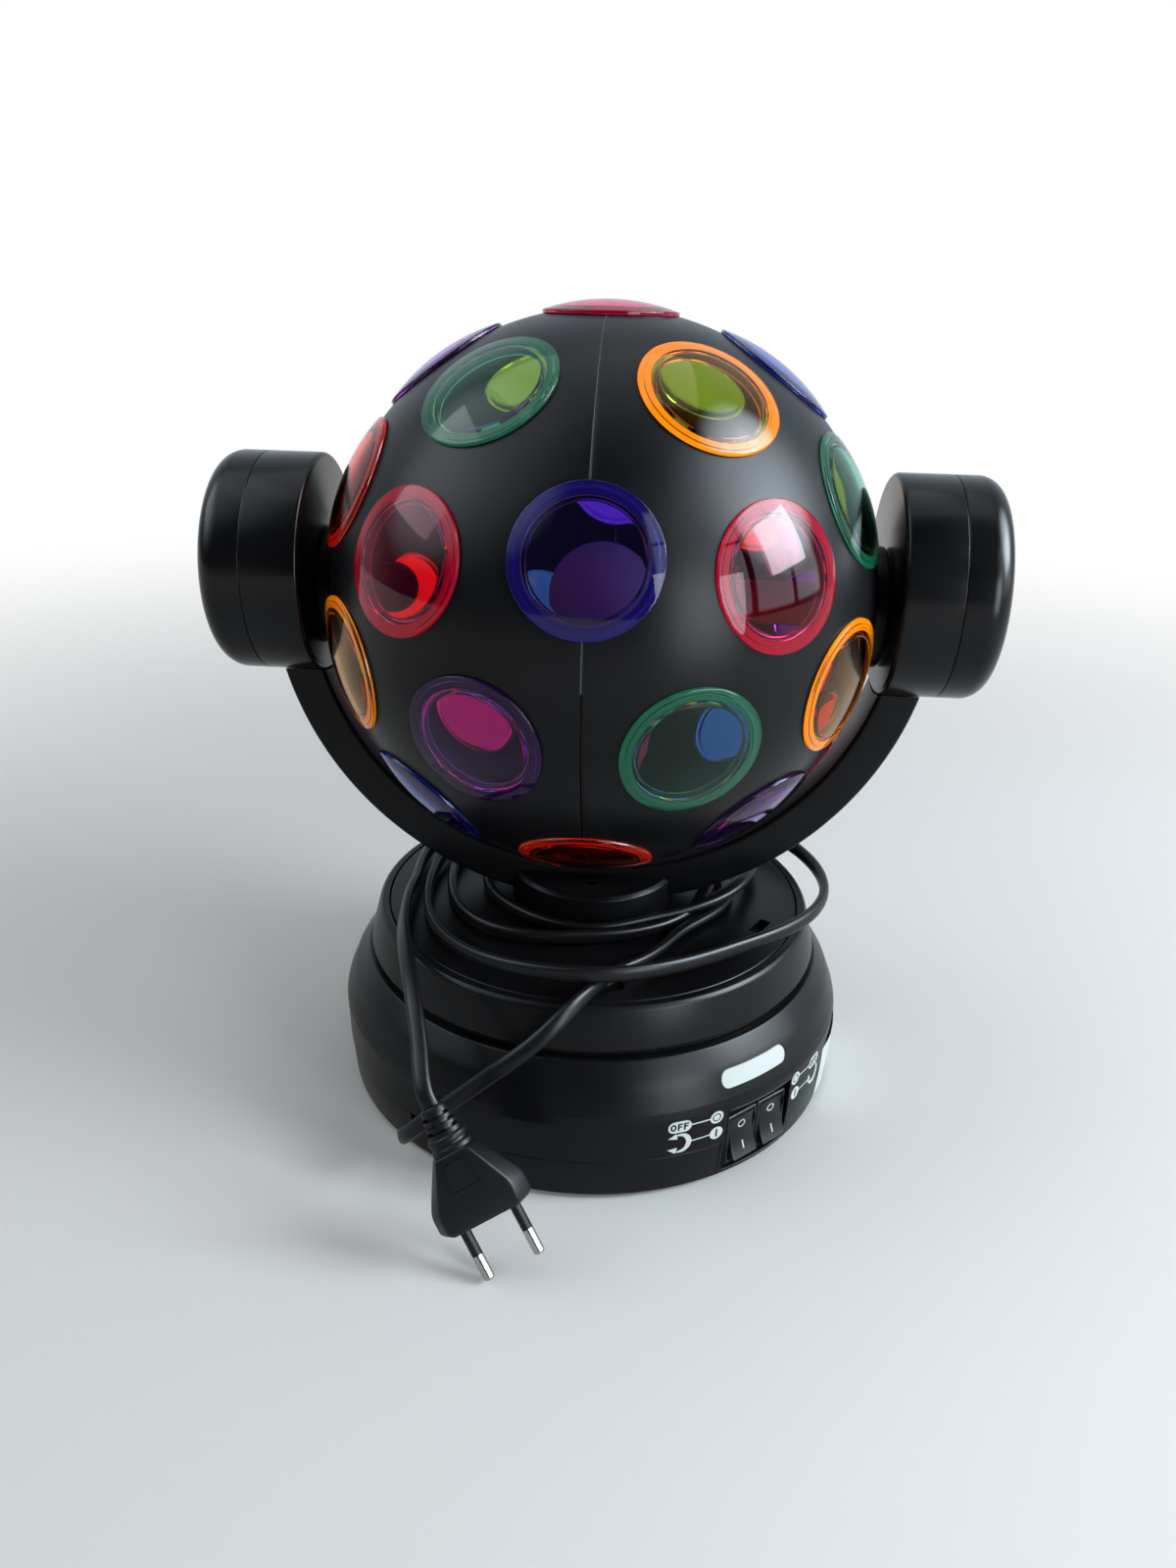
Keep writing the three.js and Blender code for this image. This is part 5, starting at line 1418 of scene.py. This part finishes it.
class SignOperator(bpy.types.Operator):
    """Prints the switch signs and lays the bare plates on the base"""
    bl_idname = "disco_light.signs"
    bl_label = "Signs"

    def execute(self, context):
        colours = context.scene.light_colours
        white = printed_finish("sign_white", tuple(colours.sign))
        black = printed_finish("sign_black", SIGN_BLACK)
        lift = context.scene.light_sizes.print_lift / MM

        def on_wall(s, z, up):
            angle = s / WIDEST
            radius = wall_radius(z) + up
            return (radius * math.sin(angle), -radius * math.cos(angle), z)

        white_parts, black_parts = [], []
        for switch in SIGN_PLACES:
            whites, blacks = self.switch_sign(**switch)
            white_parts += whites
            black_parts += blacks
        settle(make("signs_white", printed(white_parts, on_wall, INK_ROOT, lift, SIGN_ROWS), white), "base")
        letters = printed(black_parts, on_wall, lift, lift + LETTER_THICKNESS, 1)
        settle(make("signs_black", letters, black), "base")
        plate = SHOULDER_PLATE
        pill = self.pill(math.radians(plate["angle"]) * WIDEST, plate["height"], plate["width"], plate["depth"])
        bare = printed([pill], on_wall, plate["root"], plate["thickness"], SHOULDER_PLATE_ROWS)
        settle(make("plate_shoulder", bare, white, angle=PLATE_SMOOTH), "base")
        start, end = (math.radians(angle) * WIDEST for angle in SIDE_PLATE_ANGLES)
        places = [start + (end - start) * k / SIDE_PLATE_STEPS for k in range(SIDE_PLATE_STEPS + 1)]
        band = [tuple((s, z) for z in SIDE_PLATE_HEIGHTS) for s in places]

        def off_wall(s, z, up):
            share = (s - start) / (end - start)
            off = SIDE_PLATE_LIFT * ease(share / SIDE_PLATE_RISE_SHARE) * ease((1 - share) / SIDE_PLATE_FALL_SHARE)
            return on_wall(s, z, up + off)

        side = printed([band], off_wall, 0.0, SIDE_PLATE_THICKNESS, SIDE_PLATE_ROWS)
        settle(make("plate_side", side, white, angle=PLATE_SMOOTH), "base")
        return {"FINISHED"}

    def switch_sign(self, ring, disc, pill, arrow, side, heads):
        """One switch's sign: ring, disc with a bar, the word OFF and a turning arrow, joined by two lines."""
        whites = [self.disc(*ring, SIGN_DISC), self.disc(*disc, SIGN_DISC), self.pill(*pill, *SIGN_PILL)]
        for (s, z), name, (to_s, to_z) in ((ring, "pill", pill), (disc, "arrow", arrow)):
            start = (s + side * SIGN_LINE_STARTS, z)
            whites.append(self.line(start, (to_s - side * SIGN_LINE_ENDS[name], to_z), SIGN_LINE))
        sweep, points = SIGN_ARROWS[heads]
        whites.append(self.crescent(*arrow, *sweep, **CRESCENT))
        for tip, base, width in points:
            whites.append(self.head(*[(arrow[0] + x, arrow[1] + z) for x, z in (tip, base)], width))
        inner, outer = SIGN_RING
        ring_line = oval_band(*ring, (inner, inner), (outer, outer), RING_STEPS)
        return whites, [ring_line, self.bar(*disc, *SIGN_BAR), *self.off(*pill)]

    def pill(self, s, z, width, height):
        half, radius = width / 2, height / 2
        pairs = []
        for k in range(PILL_STEPS + 1):
            angle = math.pi / 2 * k / PILL_STEPS
            pairs.append((-half + radius * (1 - math.cos(angle)), max(radius * math.sin(angle), NARROWEST)))
        straight = [(-half + radius + (width - height) * k / PILL_STEPS, radius) for k in range(1, PILL_STEPS)]
        right = [(-x, h) for x, h in reversed(pairs)]
        return [((s + x, z - h), (s + x, z + h)) for x, h in pairs + straight + right]

    def disc(self, s, z, radius):
        pairs = []
        for k in range(DISC_STEPS + 1):
            angle = math.pi * k / DISC_STEPS
            place, h = s - radius * math.cos(angle), max(radius * math.sin(angle), NARROWEST)
            pairs.append(((place, z - h), (place, z + h)))
        return pairs

    def line(self, start, end, width):
        a, b = Vector(start), Vector(end)
        way = (b - a).normalized()
        side = Vector((-way.y, way.x)) * width / 2
        points = [a + (b - a) * k / LINE_STEPS for k in range(LINE_STEPS + 1)]
        return [(tuple(p - side), tuple(p + side)) for p in points]

    def bar(self, s, z, width, height):
        return self.line((s, z - height / 2), (s, z + height / 2), width)

    def off(self, s, z):
        """The word OFF in plain capitals."""
        parts = [oval_band(s + LETTER_O_PLACE, z, LETTER_O_INNER, LETTER_O_OUTER, LETTER_STEPS)]
        for left in (s + place for place in LETTER_F_PLACES):
            parts.append(self.bar(left, z, *LETTER_F_STEM))
            for up, length, width in LETTER_F_ARMS:
                parts.append(self.line((left, z + up), (left + length, z + up), width))
        return parts

    def crescent(self, s, z, start, end, outer, thick, thin, steps):
        """A curved band that is thickest in the middle of its sweep."""
        pairs = []
        for k in range(steps + 1):
            share = k / steps
            angle = math.radians(start + (end - start) * share)
            inner = outer - thin - (thick - thin) * math.sin(math.pi * share)
            pairs.append(((s + inner * math.cos(angle), z + inner * math.sin(angle)),
                          (s + outer * math.cos(angle), z + outer * math.sin(angle))))
        return pairs

    def head(self, tip, base, width):
        """A triangle from its base to its tip."""
        tip, base = Vector(tip), Vector(base)
        way = (tip - base).normalized()
        side = Vector((-way.y, way.x)) * width / 2
        pairs = []
        for k in range(HEAD_STEPS + 1):
            share = k / HEAD_STEPS
            p = base + (tip - base) * share
            h = side * max(1 - share, NARROWEST)
            pairs.append((tuple(p - h), tuple(p + h)))
        return pairs


class TurntableOperator(bpy.types.Operator):
    """Makes the turning tier: conical shell, and disc with its slot and screw hollow"""
    bl_idname = "disco_light.turntable"
    bl_label = "Turntable"

    def execute(self, context):
        plastic = black_plastic("satin_black_housing", context.scene.light_colours)
        shell = make("turntable_cone", lathe(rounded(TIER_PROFILE), BASE_SIDES), plastic)
        settle(shell, "turntable", "black_plastic", "turntable_shell")
        disc = make("turntable_plate", lathe(rounded(DISC_PROFILE), BASE_SIDES), plastic)
        place = turned(DISC_SLOT_ANGLE, DISC_SLOT_PLACE) @ turned(DISC_SLOT_LIE - DISC_SLOT_ANGLE)
        slot = prism(rectangle(*DISC_SLOT), DISC_UNDER - CUT_MARGIN, TIER_TOP + CUT_MARGIN, 0)
        disc = cut(disc, moved(slot, place))
        hollow = lathe(rounded(SCREW_HOLLOW, loop=False), SMALL_SIDES, False)
        disc = cut(disc, moved(hollow, turned(SCREW_HOLLOW_ANGLE, SCREW_HOLLOW_PLACE)))
        settle(disc, "turntable", "black_plastic", "turntable_disc")
        return {"FINISHED"}


class YokeOperator(bpy.types.Operator):
    """Makes the U-shaped yoke with its round boss"""
    bl_idname = "disco_light.yoke"
    bl_label = "Yoke"

    def execute(self, context):
        plastic = black_plastic("satin_black_housing", context.scene.light_colours)
        section = rectangle(YOKE_OUTER - YOKE_INNER, YOKE_WIDTH, YOKE_ROUND)
        middle = (YOKE_OUTER + YOKE_INNER) / 2
        span = math.degrees(math.acos(YOKE_FOOT / YOKE_OUTER))
        rings = []
        for k in range(YOKE_STEPS + 1):
            angle = math.radians(-90 - span + 2 * span * k / YOKE_STEPS)
            c, s = math.cos(angle), math.sin(angle)
            rings.append([((middle + r) * c, w, BALL_HEIGHT + (middle + r) * s) for r, w in section])
        yoke = make("yoke_arm", loft(rings), plastic)
        yoke = join(yoke, lathe(rounded(BOSS_PROFILE, loop=False, step=BOSS_STEP), DRUM_SIDES, False))
        room = rod(DRUM_RADIUS + YOKE_DRUM_GAP, DRUM_INNER - CUT_MARGIN, DRUM_OUTER, CUTTER_SIDES)
        yoke = cut(yoke, merged(*[along_x(room, side, DRUM_HEIGHT) for side in (1, -1)]))
        slot = prism(rectangle(*BOSS_SLOT), BOSS_SLOT_FLOOR, BOSS_SLOT_FLOOR + CUT_MARGIN, 0)
        yoke = cut(yoke, moved(slot, turned(0, BOSS_SLOT_PLACE)))
        settle(yoke, "turntable", "black_plastic", "yoke")
        return {"FINISHED"}


class DrumOperator(bpy.types.Operator):
    """Makes the two drums, each a cup towards the ball and a rounded cap outside"""
    bl_idname = "disco_light.drums"
    bl_label = "Drums"

    def execute(self, context):
        plastic = black_plastic("polished_black_drum", context.scene.light_colours)
        gap = context.scene.light_sizes.seam_gap / MM
        inner_radius = DRUM_RADIUS - DRUM_WALL
        cup = rounded([
            (0, DRUM_INNER), (DRUM_RADIUS, DRUM_INNER, DRUM_EDGE), (DRUM_RADIUS, DRUM_SEAM - gap / 2, DRUM_SEAM_ROUND),
            (inner_radius, DRUM_SEAM - gap / 2), (inner_radius, DRUM_INNER + DRUM_WALL, 1.0),
            (0, DRUM_INNER + DRUM_WALL),
        ], loop=False)
        cap = rounded([
            (DRUM_RADIUS, DRUM_SEAM + gap / 2, DRUM_SEAM_ROUND), (DRUM_RADIUS, DRUM_OUTER, DRUM_ROUND), (0, DRUM_OUTER),
            (0, DRUM_OUTER - DRUM_WALL), (inner_radius, DRUM_OUTER - DRUM_WALL, DRUM_ROUND_INSIDE),
            (inner_radius, DRUM_SEAM + gap / 2),
        ], step=FINE_STEP)
        for side, name, bore in ((-1, "left", SHAFT_BORE), (1, "right", AXLE_BORE)):
            inner = make(f"drum_inner_{name}", along_x(lathe(cup, DRUM_SIDES, False), side, DRUM_HEIGHT), plastic)
            hole = rod(bore, DRUM_INNER - CUT_MARGIN, DRUM_INNER + CUT_MARGIN, BORE_SIDES)
            inner = cut(inner, along_x(hole, side, BALL_HEIGHT))
            settle(inner, "turntable", "black_plastic", f"drum_cup_{name}")
            outer = make(f"drum_outer_{name}", along_x(lathe(cap, DRUM_SIDES), side, DRUM_HEIGHT), plastic)
            settle(outer, "turntable", "black_plastic", f"drum_cap_{name}")
        return {"FINISHED"}


def lens_places():
    """Name, direction and hue of every lens."""
    places = []
    for ring, off, start, hues in LENS_RINGS:
        for i, hue in enumerate(hues):
            a, b = math.radians(off), math.radians(start + LENS_APART * i)
            way = Vector((math.sin(a), -math.cos(a) * math.cos(b), math.cos(a) * math.sin(b)))
            places.append((f"{ring}_{i + 1}", way, hue))
    return places


def from_ball(way, unit=1):
    """A place in the middle of the ball that faces a lens's way."""
    turn = Vector((0, 0, 1)).rotation_difference(way).to_matrix().to_4x4()
    return Matrix.Translation((0, 0, BALL_HEIGHT * unit)) @ turn


class BallOperator(bpy.types.Operator):
    """Makes the two halves of the ball, with a round hole under each lens and a hub towards each drum"""
    bl_idname = "disco_light.ball"
    bl_label = "Ball"

    def execute(self, context):
        plastic = black_plastic("satin_black_ball", context.scene.light_colours)
        # Painted highlight: a lighter grey for the seam's chamfer, standing in for the light line it catches
        seam_highlight = moulded("seam_flash", *SEAM_PAINTED_HIGHLIGHT)
        gap = context.scene.light_sizes.seam_gap / MM / 2
        for side, name, bore in ((-1, "left", LEFT_BORE), (1, "right", RIGHT_BORE)):
            profile = self.profile(side, bore, gap)
            half = make(f"ball_half_{name}", along_x(lathe(profile, BASE_SIDES), side, BALL_HEIGHT), plastic, seam_highlight)
            # Painted highlight: the chamfer faces at the seam on the upper half take the lighter grey
            for face in half.data.polygons:
                near = abs(face.center.x) < HIGHLIGHT_REACH * MM
                upper = face.center.z > (BALL_HEIGHT - HIGHLIGHT_DROP) * MM
                face.material_index = int(near and upper and HIGHLIGHT_SLOPES[0] < abs(face.normal.x) < HIGHLIGHT_SLOPES[1])
            tool = rod(HOLE_RADIUS, HOLE_FLOOR, HOLE_REACH, HOLE_SIDES)
            ways = [way for _, way, _ in lens_places() if way.x * side >= -TINY]
            half = cut(half, merged(*[moved(tool, from_ball(way)) for way in ways]))
            settle(half, "ball", "ball_plastic", f"shell_{name}")
        return {"FINISHED"}

    def profile(self, side, bore, gap):
        """One half seen from the side: seam, skin, hub and the hollow inside."""
        outer = BALL_RADIUS + (RIGHT_HALF_PROUD if side > 0 else 0.0)
        inner = BALL_RADIUS - BALL_WALL
        skin = arc(outer, SEAM_ANGLE, math.degrees(math.acos(HUB_RADIUS / outer)), SKIN_STEPS)
        inside = arc(inner, math.degrees(math.acos(HUB_RADIUS / inner)), 0, INNER_STEPS)
        inside = [(r, max(x, gap)) for r, x in inside]
        hub_inner = math.sqrt(inner ** 2 - HUB_RADIUS ** 2)
        hub_end = [(bore, hub_inner)]
        if side < 0:
            dome = arc(BLIND_BOSS_RADIUS, -90, 0, BLIND_BOSS_STEPS, BLIND_BOSS_DOME)
            hub_end = [(bore, BLIND_BOSS_FLOOR), (0.0, BLIND_BOSS_FLOOR), *dome, (BLIND_BOSS_RADIUS, hub_inner)]
        hub = rounded([
            (HUB_RADIUS, HUB_START), (HUB_RADIUS, HUB_END, HUB_ROUND), (bore, HUB_END, BORE_ROUND), *hub_end,
        ], loop=False)
        seam = [(outer - SEAM_EDGE, gap), (outer - SEAM_SOFT, gap + SEAM_RUN)]
        return seam + skin + hub[1:] + inside


class LensOperator(bpy.types.Operator):
    """Makes the domed lenses, each with a stepped rim, and seats one in every hole of the ball"""
    bl_idname = "disco_light.lenses"
    bl_label = "Lenses"

    def execute(self, context):
        colours = context.scene.light_colours
        outline = self.outline()
        meshes = {}
        for lens, way, hue in lens_places():
            if hue not in meshes:
                tint = tuple(getattr(colours, hue))
                body = lens_finish(f"lens_{hue}_clear", tint)
                # Painted glow: the flange's underside takes an opaque bright tint that stands in for light carried
                # round inside the clear flange
                painted_glow = tuple(RIM_PAINTED_GLOW[hue] * (RIM_FLOOR + (1 - RIM_FLOOR) * c / max(tint)) for c in tint)
                rim = moulded(f"lens_{hue}_rim", painted_glow, *RIM_SKIN)
                source = make(f"lens_{hue}", lathe(outline, LENS_SIDES, False), body, rim, angle=LENS_SMOOTH)
                for face in source.data.polygons:
                    radius = math.hypot(face.center.x, face.center.y) / MM
                    face.material_index = int(radius > SKIRT_RADIUS + RIM_FROM and face.normal.z < -RIM_TILT)
                meshes[hue] = source.data
                bpy.data.objects.remove(source)
            dome = bpy.data.objects.new(f"dome_{lens}", meshes[hue])
            dome.matrix_world = from_ball(way, MM)
            context.scene.collection.objects.link(dome)
            settle(dome, "ball", f"lens_{hue}", f"lens_{lens}")
        return {"FINISHED"}

    def outline(self):
        """The lens seen from the side: dome, round edge, flange on the ball, skirt in the hole, hollow underside."""
        def dome(r, drop=0.0):
            return LENS_APEX - LENS_DOME + math.sqrt((LENS_DOME - drop) ** 2 - r ** 2)

        def seat(r):
            return math.sqrt(BALL_RADIUS ** 2 - r ** 2) + LENS_SEAT_GAP

        top = [(r, dome(r)) for r in np.linspace(0, LENS_RADIUS - LENS_EDGE, LENS_STEPS)]
        a, b, c, d = LENS_GROOVE
        wall = SKIRT_RADIUS - SKIRT_WALL
        edge = rounded([
            top[-1], (LENS_RADIUS, dome(LENS_RADIUS), 0.5), (LENS_RADIUS, seat(LENS_RADIUS), 0.25),
            (d, seat(d)), (c, seat(c) + LENS_GROOVE_DEPTH, 0.15), (b, seat(b) + LENS_GROOVE_DEPTH, 0.15),
            (a, seat(a)), (SKIRT_RADIUS, seat(SKIRT_RADIUS), 0.15), (SKIRT_RADIUS, SKIRT_END, 0.4),
            (wall, SKIRT_END, 0.4), (wall, dome(wall, LENS_THICKNESS), 0.7),
            (LENS_HOLLOW, dome(LENS_HOLLOW, LENS_THICKNESS)),
        ], loop=False)
        under = [(r, dome(r, LENS_THICKNESS)) for r in np.linspace(LENS_HOLLOW, 0, LENS_UNDER_STEPS)]
        return top + edge[1:] + under[1:]


class InsideOperator(bpy.types.Operator):
    """Makes the bulb, its holder and axle, and gives the motors their finish"""
    bl_idname = "disco_light.inside"
    bl_label = "Lamp and motors"

    def execute(self, context):
        colours = context.scene.light_colours
        glass = pearl_glass("bulb_pearl_glass", *PEARL_GLASS)
        neck_angle = math.degrees(math.acos(BULB_NECK / BULB_RADIUS)) - BULB_NECK_EASE
        globe = arc(BULB_RADIUS, -90, neck_angle, BULB_STEPS)
        globe[0] = (0, globe[0][1])
        outline = [*globe, *BULB_NECK_PROFILE]
        bulb = make("bulb_globe", along_x(lathe(outline, LAMP_SIDES, False), 1, BALL_HEIGHT), glass)
        settle(bulb, "turntable", "bulb_glass", "lamp_bulb")
        grey = moulded("axle_grey", *AXLE_GREY)
        holder = make("lamp_holder", along_x(lathe(rounded(AXLE_PROFILE), LAMP_SIDES), 1, BALL_HEIGHT), grey)
        settle(holder, "turntable", "axle_plastic", "lamp_axle")
        steel = metal("motor_can", tuple(colours.steel), STEEL_ROUGHNESS)
        for node in ("swivel_motor", "ball_motor"):
            data = frame["nodes"][node].data
            data.materials.clear()
            data.materials.append(steel)
        return {"FINISHED"}


OPERATORS = (
    StageOperator, PlugOperator, CordOperator, BaseOperator, SignOperator, SwitchOperator,
    TurntableOperator, YokeOperator, DrumOperator, BallOperator, LensOperator, InsideOperator,
)


class DISCO_PT_light(bpy.types.Panel):
    """Sizes, colours and the steps that build the light"""
    bl_label = "Disco ball light"
    bl_idname = "DISCO_PT_light"
    bl_space_type = "VIEW_3D"
    bl_region_type = "UI"
    bl_category = "Disco light"

    def draw(self, context):
        column = self.layout.column(align=True)
        for operator in OPERATORS:
            column.operator(operator.bl_idname)
        for group in (context.scene.light_sizes, context.scene.light_colours):
            box = self.layout.box().column(align=True)
            for name in group.bl_rna.properties.keys():
                if name not in ("rna_type", "name"):
                    box.prop(group, name)


CLASSES = (LightSizes, LightColours, *OPERATORS, DISCO_PT_light)


def register():
    for item in CLASSES:
        bpy.utils.register_class(item)
    bpy.types.Scene.light_sizes = PointerProperty(type=LightSizes)
    bpy.types.Scene.light_colours = PointerProperty(type=LightColours)


def unregister():
    del bpy.types.Scene.light_colours
    del bpy.types.Scene.light_sizes
    for item in reversed(CLASSES):
        bpy.utils.unregister_class(item)


def main():
    register()
    for operator in OPERATORS:
        group, name = operator.bl_idname.split(".")
        getattr(getattr(bpy.ops, group), name)()


if __name__ == "__main__":
    main()
